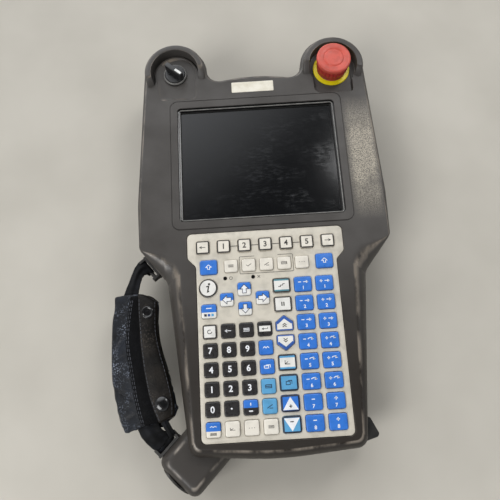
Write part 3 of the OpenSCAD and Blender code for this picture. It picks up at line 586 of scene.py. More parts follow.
# a narrow gutter follows the box's walls
gutter = solid(prism, stop_box, [(0.1, STOP_FLOOR - 0.9), (0.1, STOP_FLOOR + 0.4)])
gutter = cut(gutter, prism, stop_box, [(-0.9, STOP_FLOOR - 2), (-0.9, STOP_FLOOR + 1)])
shell = combine(shell, gutter, "DIFFERENCE")

# the selector's floor runs out towards the outer side; a narrow lip parts it from a deep crescent
LIP_AT, LIP_R, LIP_T = (-69.8, 149.7), 19.1, 1.7


def arc(radius, start, end, steps=10, mid=(0, 0)):
    """Points on an arc from one angle to another, in degrees."""
    turns = [math.radians(start + (end - start) * k / steps) for k in range(steps + 1)]
    return [(mid[0] + radius * math.cos(t), mid[1] + radius * math.sin(t)) for t in turns]


def floor_outline(ramp, grow):
    """The selector's floor; ramp is 1 at the deepest level and 0 at the rim."""
    radius = LIP_R - LIP_T - 3 * ramp + grow
    middle = (LIP_AT[0] + 2.7 * ramp, LIP_AT[1] + 1.3 * ramp)
    right, low = SELECTOR_AT[0] + 18 + grow, SELECTOR_AT[1] - 25.2 + 1.5 * ramp - grow
    left = right - 33 + 9 * ramp
    return (
        arc(radius, 0, 180, 40, middle)
        + arc(4, 180, 270, 6, (left + 4, low + 4))
        + arc(3, 270, 360, 6, (right - 3, low + 3))
    )


def crescent(grow, z):
    """A sickle between the guard's wall and the lip, pointed at both ends."""
    begin, finish, steps = 2, 207, 60
    outer, inner = [], []
    for k in range(steps + 1):
        share = k / steps
        angle = math.radians(begin + (finish - begin) * share)
        arm = Vector((math.cos(angle), math.sin(angle)))
        wall = Vector(SELECTOR_LOBE) + (GUARD_IN + 0.05) * arm
        open_share = min(1, share / 0.2, (1 - share) / 0.08)
        lip = Vector(LIP_AT) + (LIP_R + grow) * arm
        lip = wall.lerp(lip, max(0.03, math.sin(math.pi / 2 * open_share)))
        outer.append((wall.x, wall.y, z))
        inner.append((lip.x, lip.y, z))
    return outer + inner[::-1]


levels = [
    (1, 0, SELECTOR_FLOOR),
    (0.72, 0, SELECTOR_FLOOR + 0.06),
    (0.3, 0, FRONT - 0.45),
    (0, 0.1, FRONT - 0.1),
    (0, 0.35, FRONT + 0.01),
    (0, 0.35, FRONT + 0.4),
]
shell = cut(shell, loft, [level(floor_outline(ramp, grow), z) for ramp, grow, z in levels])
sickle = [(0.7, -3.6), (0.25, -3.3), (0, -2.6), (0, -0.5), (-0.2, -0.15), (-0.5, 0), (-0.5, 12)]
shell = cut(shell, loft, [crescent(grow, FRONT + z) for grow, z in sickle])
hole = [(SELECTOR_HOLE_R, HOLE_LOW), (SELECTOR_HOLE_R, HOLE_HIGH)]
shell = cut(shell, lathe, hole, SELECTOR_AT)


# Moulded ABS: a soft broad highlight from the eroded grain, polished by hands along the shoulders,
# and darker and browner down the grip, partly where skin oil has darkened it and partly painted
# shade
def moulded_abs(name, head, grip, worn, smooth, scuffed=None):
    """The shells' plastic; worn and smooth are the colour and roughness of its rubbed edges, the
    colour partly a painted highlight.
    """
    material, shader = surface(name, head, 0.5, Specular_IOR_Level=0.38)
    place = add(material, "ShaderNodeTexCoord")
    spot = add(material, "ShaderNodeSeparateXYZ", {"Vector": place.outputs["Object"]})
    facing = add(material, "ShaderNodeSeparateXYZ", {"Vector": place.outputs["Normal"]})
    # the way down the grip, and both ends of the rounded shoulder, where the surface turns
    spans = [(spot, "Y", 5 * MM, -120 * MM), (facing, "Z", 0.992, 0.965), (facing, "Z", 0.8, 0.94)]
    if scuffed:
        # a palm-sized patch beside the display: the grain's tips rubbed pale, partly painted glints
        spans += [(spot, "X", 75 * MM, 82 * MM), (spot, "X", 103 * MM, 98 * MM)]
        spans += [(spot, "Y", 2 * MM, 40 * MM), (spot, "Y", 118 * MM, 80 * MM)]
    shares = []
    for split, axis, none, full in spans:
        links = {"Value": split.outputs[axis], "From Min": none, "From Max": full}
        shares.append(add(material, "ShaderNodeMapRange", links).outputs["Result"])
    along, turned, under, *palm_patch_and_glints = shares
    dirt = product(material, mottle(material, 26, 0.3, 0.7, 5), 0.5)
    # the shoulder is rubbed bright in broken patches, partly wear and partly a painted highlight
    ridge = product(material, turned, under)
    rubbed = product(material, ridge, mottle(material, 9, 0.42, 0.62, 6, (1, 0.35, 1)))
    # the colour darkens down the grip: partly skin oil, partly painted shade
    coats = [(along, grip), (dirt, grip), (rubbed, worn)]
    if scuffed:
        palm_patch_and_glints += [mottle(material, 0.8, 0.3, 0.66, 2), mottle(material, 24, 0.2, 0.5, 3)]
        coats.append((product(material, *palm_patch_and_glints), scuffed))
    shine = add(material, "ShaderNodeMapRange", {"Value": ridge, "To Min": 0.42, "To Max": smooth})
    rough = add(
        material,
        "ShaderNodeMath",
        {0: mottle(material, 3, 0.3, 0.7, 3), 1: 0.08, 2: shine.outputs["Result"]},
        operation="MULTIPLY_ADD",
    )
    base = layered(material, head, *coats)
    drive(material, shader, Base_Color=base, Roughness=rough.outputs[0])
    # the real grain is 0.2 mm; drawn at 0.8 mm so that it shows
    grain(material, shader, 0.8, 0.05)
    return material


# Polished black round the window: a dark mirror, a little dusty in patches
display_black = patchy(
    "polished_black_surround", "#0c0c0d", 0.16, (5, 0.45, 0.7), ("#0b0b0c", "#1b1a19")
)
# the ledge carries it
for face in shell.faces:
    spot = face.calc_center_median() / MM
    beside = max(abs(spot.x) - WINDOW_W / 2, abs(spot.y - WINDOW_Y) - WINDOW_H / 2)
    if -0.2 < beside < LEDGE + 0.3 and GLASS_TOP < spot.z < FRONT:
        face.material_index = 1
front_abs = moulded_abs(
    "spark_eroded_abs_front", "#4c4946", "#29241f", "#7d7469", smooth=0.22, scuffed="#b6ad9c"
)
front_shell = finish_piece(
    "front_shell",
    shell,
    [front_abs, display_black],
    replaces=["front_housing"],
)
even_normals(front_shell)

# ---- Rear shell, seam and screws -----------------------------------------------------------------
# The deep rear tray is moulded from the same ABS in a darker tone. A rubber gasket lies in the
# seam, ten black socket screws hold it from behind, and two squeeze levers close the switches.
rear_abs = moulded_abs("spark_eroded_abs_rear", "#3d3a37", "#2b2723", "#5f5952", smooth=0.42)


def dressed(material, *nodes):
    """Gives carried-over CAD parts their finish."""
    for node in nodes:
        mesh = bpy.data.objects[node].data
        mesh.materials.clear()
        mesh.materials.append(material)


# Nitrile rubber, moulded: nearly black, with a dull bloom
seam_rubber = patchy(
    "moulded_nitrile_rubber", "#1c1b19", 0.7, (4, 0.35, 0.7), ("#1a1917", "#2a2825"), (1.2, 0.04)
)
# Blackened steel: the oxide is dark and slightly glossy
black_steel = patchy(
    "blackened_steel", "#2a2a2b", 0.38,
    (1.6, 0.4, 0.65), ("#262627", "#4a4947"), (0.6, 0.015), Metallic=0.85,
)
# Glass-filled nylon: grey-black, with a faint cloudy skin
black_nylon = patchy(
    "glass_filled_nylon", "#2b2a28", 0.55, (5, 0.35, 0.68), ("#272624", "#3b3936"), (0.7, 0.04)
)
# Turned and zinc-plated steel: bright, with fine turning marks
bright_steel = patchy(
    "zinc_plated_steel", "#b9bbbc", 0.28,
    (2, 0.35, 0.7), ("#a9abad", "#c6c7c6"), (0.5, 0.01), Metallic=1.0,
)
dressed(rear_abs, "rear_housing")
dressed(seam_rubber, "housing_gasket")
dressed(black_steel, "housing_screws")
dressed(black_nylon, "enabling_lever_left", "enabling_lever_right", "enabling_switches")
dressed(bright_steel, "lever_pins")

# ---- Display -------------------------------------------------------------------------------------
# A touch panel of chemically strengthened glass over a dark display, pressed against a rubber frame
# from inside the shell. Switched off, it is nearly black; greasy fingers leave broad dull strokes.
panel_glass, glass_shader = surface("strengthened_glass_unlit", "#0b0c0e", 0.06, IOR=1.5)
strokes = product(
    panel_glass,
    mottle(panel_glass, 34, 0.42, 0.7, 6, (1, 1.6, 1)),
    mottle(panel_glass, 5, 0.45, 0.75, 8, (1, 3, 1)),
)
dulled = {0: strokes, 1: 0.22, 2: 0.13}
drive(
    panel_glass,
    glass_shader,
    Roughness=add(panel_glass, "ShaderNodeMath", dulled, operation="MULTIPLY_ADD").outputs[0],
    Base_Color=layered(panel_glass, "#08090b", (strokes, "#17191c")),
)
dressed(panel_glass, "touch_panel")
dressed(seam_rubber, "display_gasket")

# A thin satin rim of polycarbonate stands between the black surround and the glass; its pale grey
# is a painted highlight along its bevel
rim_painted_highlight = patchy(
    "satin_polycarbonate_rim", "#8b8984", 0.3, (6, 0.4, 0.7), ("#8f8d88", "#6a6864"), (0.6, 0.01)
)
rim = solid(prism, window_corners, [(1.35, FRONT - 2.4), (1.35, FRONT - 1.3), (1.2, FRONT - 1.15)])
rim = cut(rim, prism, window_corners, [(0.75, FRONT - 4), (0.75, FRONT - 1.3), (0.9, FRONT)])
finish_piece("display_rim", rim, [rim_painted_highlight])

# Inside: printed boards with a green solder mask, a silicone mat and a steel display frame
green_board = patchy("solder_masked_board", "#2f6b3c", 0.4, (6, 0.4, 0.6), ("#2a6136", "#357644"))
grey_silicone = patchy(
    "moulded_silicone", "#8e8c86", 0.6, (8, 0.4, 0.6), ("#86847e", "#97958f"), (1, 0.03)
)
sheet_steel = patchy(
    "galvanised_sheet", "#9a9c9e", 0.45, (9, 0.35, 0.7), ("#8f9193", "#a6a8a9"), Metallic=0.9
)
dressed(green_board, "main_board", "key_board")
dressed(grey_silicone, "keypad_mat")
dressed(sheet_steel, "lcd_module")

# ---- Faceplate and its printed lines -------------------------------------------------------------
# A thick beige polycarbonate plate that drops into the shell over the keys, with an opening for
# each key. Its lines are screen-printed in brown-black ink.
KEY_GAP = 0.3
KEY_S = 10.9
FUNCTION_S, MENU_H, ARROW_S = 10.8, 10, 10.4
WIDE_W, WIDE_H = 13.8, 11.8
NUM_X, NUM_Y, NUM_PITCH, NUM_ROW = -48, -83, 14.4, 14.5
FUNCTION_PITCH, FUNCTION_Y = 17.07, -14.3
MENU_Y = -31.2
INFO_Y, INFO_D = -48.2, 14.7
SHIFT_X = 47
DISPLAY_KEY_Y = -66.9
ARROW_X, ARROW_Y, ARROW_DX, ARROW_DY = -19.1, -58.4, 14.3, 7.9
PROG_X, JOG_X, JOG_STEP, JOG_Y, JOG_PITCH = 10.8, 28.05, 17.25, -49.4, 15.07
HOUSE_ROOF = 5
LAMP_AT = [(-34, -40.9), (-11.4, -40.9)]
LAMP_R = 1.5


def key_corners(x, y, w, h, shape="square"):
    """Outline corners of a key: square, round, or a house whose roof points up or down."""
    if shape == "round":
        return box_corners(w, w, w / 2 - 0.01, (x, y))
    if shape == "square":
        return box_corners(w, h, 1.5, (x, y))
    s = 1 if shape == "house_up" else -1
    corners = [
        (x - w / 2, y - s * h / 2, 1.2),
        (x + w / 2, y - s * h / 2, 1.2),
        (x + w / 2, y + s * (h / 2 - HOUSE_ROOF), 0.5),
        (x, y + s * (h / 2 + 0.5), 1.6),
        (x - w / 2, y + s * (h / 2 - HOUSE_ROOF), 0.5),
    ]
    return corners[::s]


def number_key(col, row):
    """The place and size of a key in the number block."""
    return (NUM_X + NUM_PITCH * col, NUM_Y - NUM_ROW * row, KEY_S, KEY_S)


def wide_key(x, row, shape="square"):
    """The place and size of a key in the three columns at the right."""
    return (x, JOG_Y - JOG_PITCH * row, WIDE_W, WIDE_H, shape)


# Screen-printing ink and moulded key colours. The polycarbonate caps are satin; their colour goes
# right through, so wear only dulls the gloss
def satin_plastic(name, colour, rough=0.36, depth=0.07):
    """A satin plastic or ink; depth is how much darker its soiled patches are."""
    material, shader = surface(name, colour, rough, IOR=1.52)
    channels = [int(colour[i : i + 2], 16) * (1 - depth) for i in (1, 3, 5)]
    darker = "#" + "".join(f"{int(channel):02x}" for channel in channels)
    soiled = mottle(material, 7, 0.45, 0.75, 5)
    worn = {0: mottle(material, 2.5, 0.3, 0.7, 4), 1: 0.16, 2: rough - 0.08}
    drive(
        material,
        shader,
        Base_Color=layered(material, colour, (soiled, darker)),
        Roughness=add(material, "ShaderNodeMath", worn, operation="MULTIPLY_ADD").outputs[0],
    )
    grain(material, shader, 0.5, 0.012)
    return material


INKS = {
    "plate": satin_plastic("polycarbonate_beige_satin", "#cdc6b7", 0.5, 0.1),
    "dark": satin_plastic("screen_ink_brown_black", "#332f2b", 0.5, 0.2),
    "night": satin_plastic("screen_ink_blue_black", "#1b2236", 0.45, 0.2),
    "light": satin_plastic("screen_ink_white", "#e9eaec", 0.45),
    "teal": satin_plastic("screen_ink_teal", "#4f8794", 0.42, 0.1),
    "royal": satin_plastic("screen_ink_deep_blue", "#2c56a0", 0.42, 0.1),
    "cream": satin_plastic("key_polycarbonate_cream", "#e2dccf"),
    "white": satin_plastic("key_polycarbonate_white", "#e4e2dc"),
    "black": satin_plastic("key_polycarbonate_black", "#2d2b2b", 0.3, 0.25),
    "blue": satin_plastic("key_polycarbonate_blue", "#3474cc", 0.33, 0.1),
    "sky": satin_plastic("key_polycarbonate_sky_blue", "#5b9fca", 0.34, 0.08),
}
INK_NAMES = list(INKS)
PRINT_RISE = 0.035  # a printed film is this far proud of its surface, and as deep below it


def film(form, outline, at, z, ink):
    """A printed patch: a thin closed solid half sunk into the surface at height z."""
    points = [(at[0] + x, at[1] + y) for x, y in outline]
    faces = [level(points, z - PRINT_RISE), level(points, z + PRINT_RISE)]
    loft(form, faces, INK_NAMES.index(ink))


def stroke(form, path, width, at, z, ink, closed=False):
    """A printed line of even width along a path, with mitred corners."""
    pts = [Vector(p) for p in path]
    n = len(pts)
    sides = ([], [])
    for i, p in enumerate(pts):
        before = pts[i - 1] if i or closed else None
        after = pts[(i + 1) % n] if i < n - 1 or closed else None
        e = (p - before).normalized() if before is not None else (after - p).normalized()
        f = (after - p).normalized() if after is not None else e
        normal = Vector((-(e.y + f.y), e.x + f.x)).normalized()
        reach = width / 2 / max(0.4, normal.dot(Vector((-e.y, e.x))))
        sides[0].append(p + normal * reach)
        sides[1].append(p - normal * reach)
    if closed:
        for k in range(n):
            j = (k + 1) % n
            film(form, [sides[0][k], sides[0][j], sides[1][j], sides[1][k]], at, z, ink)
    else:
        film(form, sides[0] + sides[1][::-1], at, z, ink)


def use_inks(name, form, body, replaces):
    """Finishes a printed piece, with only the inks that it shows."""
    used = sorted({face.material_index for face in form.faces})
    for face in form.faces:
        face.material_index = used.index(face.material_index)
    inks = [INKS[INK_NAMES[k]] for k in used]
    finish_piece(name, form, inks, body, replaces, angle=40)


PROGRAM_SHAPES = ["square", "square", "house_up", "house_down"] + ["square"] * 4
ALL_KEYS = (
    [(FUNCTION_PITCH * i, FUNCTION_Y, FUNCTION_S, FUNCTION_S) for i in range(-3, 4)]
    + [(NUM_PITCH * i, MENU_Y, FUNCTION_S, MENU_H) for i in range(-2, 3)]
    + [(s * SHIFT_X, MENU_Y, WIDE_W, WIDE_H) for s in (-1, 1)]
    + [(NUM_X, INFO_Y, INFO_D, INFO_D, "round"), (NUM_X, DISPLAY_KEY_Y, WIDE_W - 2, KEY_S)]
    + [(ARROW_X, ARROW_Y + s * ARROW_DY, ARROW_S, ARROW_S) for s in (-1, 1)]
    + [(ARROW_X + s * ARROW_DX, ARROW_Y, ARROW_S, ARROW_S) for s in (-1, 1)]
    + [wide_key(PROG_X, row, shape) for row, shape in enumerate(PROGRAM_SHAPES)]
    + [wide_key(JOG_X + JOG_STEP * i, row) for i in (0, 1) for row in range(8)]
    + [number_key(col, row) for row in range(6) for col in range(4)]
)
plate_ink = INK_NAMES.index("plate")
PLATE_BACK = PLATE_Z - PLATE_T
plate_side = [(0, PLATE_BACK), (0, PLATE_Z - 0.5), (-0.1, PLATE_Z - 0.2), (-0.45, PLATE_Z)]
plate = solid(prism, plate_corners, plate_side, steps=6, material=plate_ink)
openings = bmesh.new()
opening = [(KEY_GAP, PLATE_BACK - 1), (KEY_GAP, PLATE_Z - 0.15), (KEY_GAP + 0.3, PLATE_Z + 0.2)]
for spot in ALL_KEYS:
    steps = 8 if "round" in spot else 3
    prism(openings, key_corners(*spot), opening, steps, plate_ink)
lamp_hole = [(LAMP_R + 0.1, PLATE_BACK - 1), (LAMP_R + 0.1, PLATE_Z + 1)]
for at in LAMP_AT:
    lathe(openings, lamp_hole, at, steps=24, material=plate_ink)
plate = combine(plate, openings, "DIFFERENCE")
for face in plate.faces:
    face.material_index = plate_ink
# short lines join the five middle function keys; a box holds the three middle menu keys
gap = FUNCTION_PITCH - FUNCTION_S - 2 * KEY_GAP
for i in range(-2, 2):
    mid = (FUNCTION_PITCH * (i + 0.5), FUNCTION_Y)
    stroke(plate, [(-gap / 2, 0), (gap / 2, 0)], 0.6, mid, PLATE_Z, "dark")
box_w, box_top, box_low = 21.8, -23.7, -38
frame_line = (
    [(-9.5, box_top)]
    + arc(1, 90, 180, 4, (-box_w + 1, box_top - 1))
    + arc(1, 180, 270, 4, (-box_w + 1, box_low + 1))
    + arc(1, 270, 360, 4, (box_w - 1, box_low + 1))
    + arc(1, 0, 90, 4, (box_w - 1, box_top - 1))
    + [(9.5, box_top)]
)
stroke(plate, frame_line, 0.4, (0, 0), PLATE_Z, "dark")
# generic marks by the two lamps: a dial for power and a cross for a fault
power_at, fault_at = [(x + 4.6, y) for x, y in LAMP_AT]
stroke(plate, arc(1.2, 120, 420, 12), 0.4, power_at, PLATE_Z, "dark")
stroke(plate, [(0, 0.5), (0, 1.7)], 0.4, power_at, PLATE_Z, "dark")
stroke(plate, [(-1, -1), (1, 1)], 0.45, fault_at, PLATE_Z, "dark")
stroke(plate, [(-1, 1), (1, -1)], 0.45, fault_at, PLATE_Z, "dark")
use_inks("faceplate", plate, "housing", ["key_faceplate"])

# ---- Keys ----------------------------------------------------------------------------------------
# Hard polycarbonate caps on a silicone dome mat. A flange under the faceplate keeps each cap in its
# opening. Colours are moulded in or printed; words are left off, and plain signs stand in for them.
KEY_TOP = PLATE_Z + 1.6
FLANGE_TOP = PLATE_BACK - 0.3
FLANGE_LOW, FLANGE_W = FLANGE_TOP - 1.4, 0.6
CAP_RIM = 1.05  # how far the rounded and printed rim reaches over the cap's top


def cap(form, spot, colour, rim=None, bands=()):
    """One key; bands are (share of the height, ink) from the lower edge up, rim inks its edge."""
    one = bmesh.new()
    paint = INK_NAMES.index(colour)
    corners = key_corners(*spot)
    steps = 8 if "round" in spot else 4
    bevel = [(0, FLANGE_TOP), (0, KEY_TOP - 0.7), (-0.12, KEY_TOP - 0.3), (-0.4, KEY_TOP - 0.06)]
    profile = [(FLANGE_W, FLANGE_LOW), (FLANGE_W, FLANGE_TOP)] + bevel + [(-CAP_RIM, KEY_TOP)]
    prism(one, corners, profile, steps, paint)
    height = spot[3]
    lowest = spot[1] - height / 2
    for share, ink in bands[:-1]:
        bmesh.ops.bisect_plane(
            one,
            geom=one.verts[:] + one.edges[:] + one.faces[:],
            plane_co=Vector((0, lowest + share * height, 0)) * MM,
            plane_no=(0, 1, 0),
        )
    one.normal_update()
    for face in one.faces:
        middle = face.calc_center_median() / MM
        on_top = face.normal.z > 0.999 and middle.z > KEY_TOP - 0.02
        on_rim = not on_top and middle.z > KEY_TOP - 0.5
        if bands and (on_top or not rim):
            share = (middle.y - lowest) / height
            ink = next((ink for limit, ink in bands if share < limit), bands[-1][1])
            face.material_index = INK_NAMES.index(ink)
        if rim and on_rim:
            face.material_index = INK_NAMES.index(rim)
    merged = bpy.data.meshes.new("cap")
    one.to_mesh(merged)
    one.free()
    form.from_mesh(merged)
    bpy.data.meshes.remove(merged)


def numeral(form, text, at, height, ink):
    """A plain printed number from the built-in font, as a thin closed solid."""
    letters = bpy.data.curves.new("numeral", "FONT")
    letters.body = text
    letters.size = height * MM / 0.7
    letters.offset = height * MM * 0.035
    letters.extrude = PRINT_RISE * MM
    letters.resolution_u = 3
    holder = bpy.data.objects.new("numeral", letters)
    mesh = bpy.data.meshes.new_from_object(holder)
    glyph = bmesh.new()
    glyph.from_mesh(mesh)
    bmesh.ops.remove_doubles(glyph, verts=glyph.verts, dist=1e-7)
    xs = [v.co.x for v in glyph.verts]
    ys = [v.co.y for v in glyph.verts]
    mid = Vector(((min(xs) + max(xs)) / 2, (min(ys) + max(ys)) / 2, 0))
    bmesh.ops.translate(glyph, verts=glyph.verts, vec=Vector((*at, KEY_TOP)) * MM - mid)
    for face in glyph.faces:
        face.material_index = INK_NAMES.index(ink)
    glyph.to_mesh(mesh)
    glyph.free()
    form.from_mesh(mesh)
    bpy.data.meshes.remove(mesh)
    bpy.data.objects.remove(holder)
    bpy.data.curves.remove(letters)


# Simple signs, each a list of paths in a square from -1 to 1
SIGNS = {
    "minus": [[(-1, 0), (1, 0)]],
    "plus": [[(-1, 0), (1, 0)], [(0, -1), (0, 1)]],
    "lines": [[(-1, 0.7), (1, 0.7)], [(-1, 0), (1, 0)], [(-1, -0.7), (1, -0.7)]],
    "tick": [[(-1, 0.1), (-0.3, -0.8), (1, 0.8)]],
    "pen": [[(-0.9, -0.9), (0.9, 0.9)], [(-0.2, -0.95), (1, -0.95)]],
    "grid": [[(-1, 0.8), (1, 0.8), (1, -0.8), (-1, -0.8), (-1, 0.84)], [(-1, 0), (1, 0)]],
    "dots": [[(-1, 0), (-0.7, 0)], [(-0.15, 0), (0.15, 0)], [(0.7, 0), (1, 0)]],
    "pause": [[(-0.45, -0.8), (-0.45, 0.8)], [(0.45, -0.8), (0.45, 0.8)]],
    "steps": [[(-1, -0.7), (-0.3, -0.7), (-0.3, 0), (0.4, 0), (0.4, 0.7), (1, 0.7)]],
    "back": [[(1, 0), (-1, 0)], [(-0.3, 0.7), (-1, 0), (-0.3, -0.7)]],
    "next": [[(-1, 0), (1, 0)], [(0.3, 0.7), (1, 0), (0.3, -0.7)]],
    "return": [[(1, 0.8), (1, -0.1), (-1, -0.1)], [(-0.4, 0.5), (-1, -0.1), (-0.4, -0.7)]],
    "up_chevrons": [[(-0.8, -0.8), (0, -0.1), (0.8, -0.8)], [(-0.8, 0.1), (0, 0.8), (0.8, 0.1)]],
    "down_chevrons": [[(-0.8, 0.8), (0, 0.1), (0.8, 0.8)], [(-0.8, -0.1), (0, -0.8), (0.8, -0.1)]],
    "shift": [
        [(-0.4, -0.8), (-0.4, 0), (-1, 0), (0, 0.9), (1, 0), (0.4, 0), (0.4, -0.8), (-0.46, -0.8)]
    ],
    "axes": [[(-0.8, 0.9), (-0.8, -0.7), (0.9, -0.7)], [(-0.8, -0.7), (0.2, 0.3)]],
    "pages": [
        [(-1, -0.8), (0.4, -0.8), (0.4, 0.5), (-1, 0.5), (-1, -0.84)],
        [(-0.4, 0.9), (1, 0.9), (1, -0.5)],
    ],
    "wave": [[(-1, -0.3), (-0.5, 0.5), (0, -0.3), (0.5, 0.5), (1, -0.3)]],
    "turn": [arc(0.85, 60, 360, 14)],
    "arrow": [[(-1, 0), (1, 0)], [(0.3, 0.55), (1, 0), (0.3, -0.55)]],
    "bow": [arc(1.5, 140, 40, 8, (0, -1)), [(0.45, 0.75), (1.15, -0.03), (0.25, -0.2)]],
}


def sign(form, kind, at, size, ink, width=0.6, height=None):
    """Prints a sign, size and height being half its width and height in millimetres."""
    tall = height or size
    for path in SIGNS[kind]:
        stroke(form, [(x * size, y * tall) for x, y in path], width, at, KEY_TOP, ink)


def signed(form, spot, colour, kind, size, ink, width=0.6, height=None, **look):
    """A key with one sign in its middle."""
    cap(form, spot, colour, **look)
    sign(form, kind, spot[:2], size, ink, width, height)


# Each function below draws the keys of one node
def function_row(form):
    for i in range(-3, 4):
        spot = (FUNCTION_PITCH * i, FUNCTION_Y, FUNCTION_S, FUNCTION_S)
        if abs(i) < 3:
            cap(form, spot, "cream", rim="dark")
            numeral(form, str(i + 3), spot[:2], 4.4, "dark")
        else:
            kind = "back" if i < 0 else "next"
            signed(form, spot, "cream", kind, 2.3, "dark", 0.5, 1.4, rim="dark")


def menu_row(form):
    for i, kind in zip(range(-2, 3), ("lines", "tick", "pen", "grid", "dots")):
        spot = (NUM_PITCH * i, MENU_Y, FUNCTION_S, MENU_H)
        signed(form, spot, "cream", kind, 2.1, "dark", 0.45, 1.2)


def shift_key(form, side):
    spot = (side * SHIFT_X, MENU_Y, WIDE_W, WIDE_H)
    signed(form, spot, "blue", "shift", 2.2, "light", 0.55)


def info_key(form):
    cap(form, (NUM_X, INFO_Y, INFO_D, INFO_D, "round"), "white", rim="dark")
    film(form, arc(0.95, 0, 330, 11), (NUM_X + 0.9, INFO_Y + 3.1), KEY_TOP, "dark")
    body = [(-1.7, 1.1), (0.2, 1.4), (-0.7, -3), (0.5, -2.6)]
    stroke(form, body, 1.0, (NUM_X + 0.3, INFO_Y), KEY_TOP, "dark")


def display_key(form):
    spot = (NUM_X, DISPLAY_KEY_Y, WIDE_W - 2, KEY_S)
    cap(form, spot, "white", bands=[(0.42, "white"), (1, "blue")])
    stroke(form, [(-2.2, 0), (2.2, 0)], 0.7, (NUM_X, DISPLAY_KEY_Y + 2.4), KEY_TOP, "light")
    square = [(-1, -1), (1, -1), (1, 1), (-1, 1)]
    for i, ink in enumerate(("night", "royal", "sky")):
        film(form, square, (NUM_X + 2.8 * (i - 1), DISPLAY_KEY_Y - 3), KEY_TOP, ink)


def arrow_keys(form):
    shape = [(0, 3.6), (-3.4, 0), (-1.5, 0), (-1.5, -3.4), (1.5, -3.4), (1.5, 0), (3.4, 0)]
    for turn, dx, dy in ((0, 0, 1), (180, 0, -1), (90, -1, 0), (-90, 1, 0)):
        spot = (ARROW_X + dx * ARROW_DX, ARROW_Y + dy * ARROW_DY, ARROW_S, ARROW_S)
        cap(form, spot, "white", bands=[(0.45, "white"), (1, "blue")])
        c, s = math.cos(math.radians(turn)), math.sin(math.radians(turn))
        points = [(x * c - y * s, x * s + y * c) for x, y in shape]
        film(form, points[::-1], spot[:2], KEY_TOP, "light")
        stroke(form, points, 0.5, spot[:2], KEY_TOP + 0.02, "night", closed=True)


def step_key(form):
    teal_ends = [(0.19, "teal"), (0.81, "white"), (1, "teal")]
    spot = wide_key(PROG_X, 0)
    signed(form, spot, "white", "steps", 2.6, "dark", 0.55, 1.5, rim="dark", bands=teal_ends)


def hold_key(form):
    signed(form, wide_key(PROG_X, 1), "white", "pause", 1.8, "dark", 0.9, 2, rim="dark")


def run_key(form, row, shape, kind):
    """A key like a house, with a printed roof over its sign."""
    s = 1 if shape == "house_up" else -1
    spot = wide_key(PROG_X, row, shape)
    cap(form, spot, "white", rim="royal")
    eaves = s * (WIDE_H / 2 - HOUSE_ROOF - 1.2)
    roof = [(-WIDE_W / 2 + 1.1, eaves), (0, s * (WIDE_H / 2 - 1.6)), (WIDE_W / 2 - 1.1, eaves)]
    stroke(form, roof, 1.5, spot[:2], KEY_TOP, "royal")
    sign(form, kind, (spot[0], spot[1] - s * 1.8), 1.9, "dark", 0.6, 1.7)


def frame_select_keys(form):
    sky_ends = [(0.2, "sky"), (0.8, "white"), (1, "sky")]
    spot = wide_key(PROG_X, 4)
    signed(form, spot, "white", "axes", 2.2, "dark", 0.5, 1.8, rim="night", bands=sky_ends)
    signed(form, wide_key(PROG_X, 5), "sky", "pages", 2.2, "night", 0.5, 1.8, rim="night")


def speed_keys(form):
    for row, s, kind in ((6, 1, "plus"), (7, -1, "minus")):
        spot = wide_key(PROG_X, row)
        cap(form, spot, "blue" if s > 0 else "sky", rim="night")
        wedge = [(-5.9, -s * 4.6), (5.9, -s * 4.6), (0, s * 4.7)]
        film(form, wedge[::s], spot[:2], KEY_TOP, "light")
        sign(form, kind, (spot[0], spot[1] - s * 2), 1.3, "dark", 0.7)


def edit_row(form):
    signed(form, number_key(0, 0), "white", "turn", 2, "dark", 0.5, 1.7, rim="dark")
    for col, kind in ((1, "back"), (2, "lines")):
        signed(form, number_key(col, 0), "black", kind, 2.4, "light", 0.5, 1.5)
    black_ends = [(0.3, "black"), (0.7, "white"), (1, "black")]
    enter = number_key(3, 0)
    signed(form, enter, "black", "return", 2.2, "dark", 0.45, 1.2, rim="black", bands=black_ends)


def number_row(form, first, row):
    for col in range(3):
        spot = number_key(col, row)
        cap(form, spot, "black")
        numeral(form, str(first + col), spot[:2], 4.6, "light")


def zero_row(form):
    zero, dot, signs = (number_key(col, 4) for col in range(3))
    cap(form, zero, "black")
    numeral(form, "0", zero[:2], 4.6, "light")
    cap(form, dot, "black")
    film(form, arc(0.65, 0, 330, 11), dot[:2], KEY_TOP, "light")
    cap(form, signs, "black", bands=[(0.48, "black"), (1, "blue")])
    x, y = signs[:2]
    stroke(form, [(-1.5, 0), (1.5, 0)], 1.0, (x, y - 2.6), KEY_TOP, "light")
    stroke(form, [(0, -1), (0, 1)], 0.8, (x, y + 2.4), KEY_TOP, "light")


def macro_column(form):
    looks = [("blue", "wave", "light"), ("blue", "pages", "light")]
    looks += [("sky", "grid", "night"), ("sky", "pen", "night")]
    for row, (colour, kind, ink) in enumerate(looks, 1):
        signed(form, number_key(3, row), colour, kind, 2.3, ink, 0.55, 1.4)


def bottom_row(form):
    spot = number_key(0, 5)
    cap(form, spot, "cream", bands=[(0.42, "cream"), (1, "blue")])
    sign(form, "wave", (spot[0], spot[1] + 2.3), 2.4, "light", 0.5, 0.9)
    sign(form, "lines", (spot[0], spot[1] - 2.9), 2.4, "dark", 0.4, 0.9)
    for col, kind in ((1, "axes"), (2, "dots"), (3, "lines")):
        signed(form, number_key(col, 5), "cream", kind, 2.2, "dark", 0.4, 1.1)


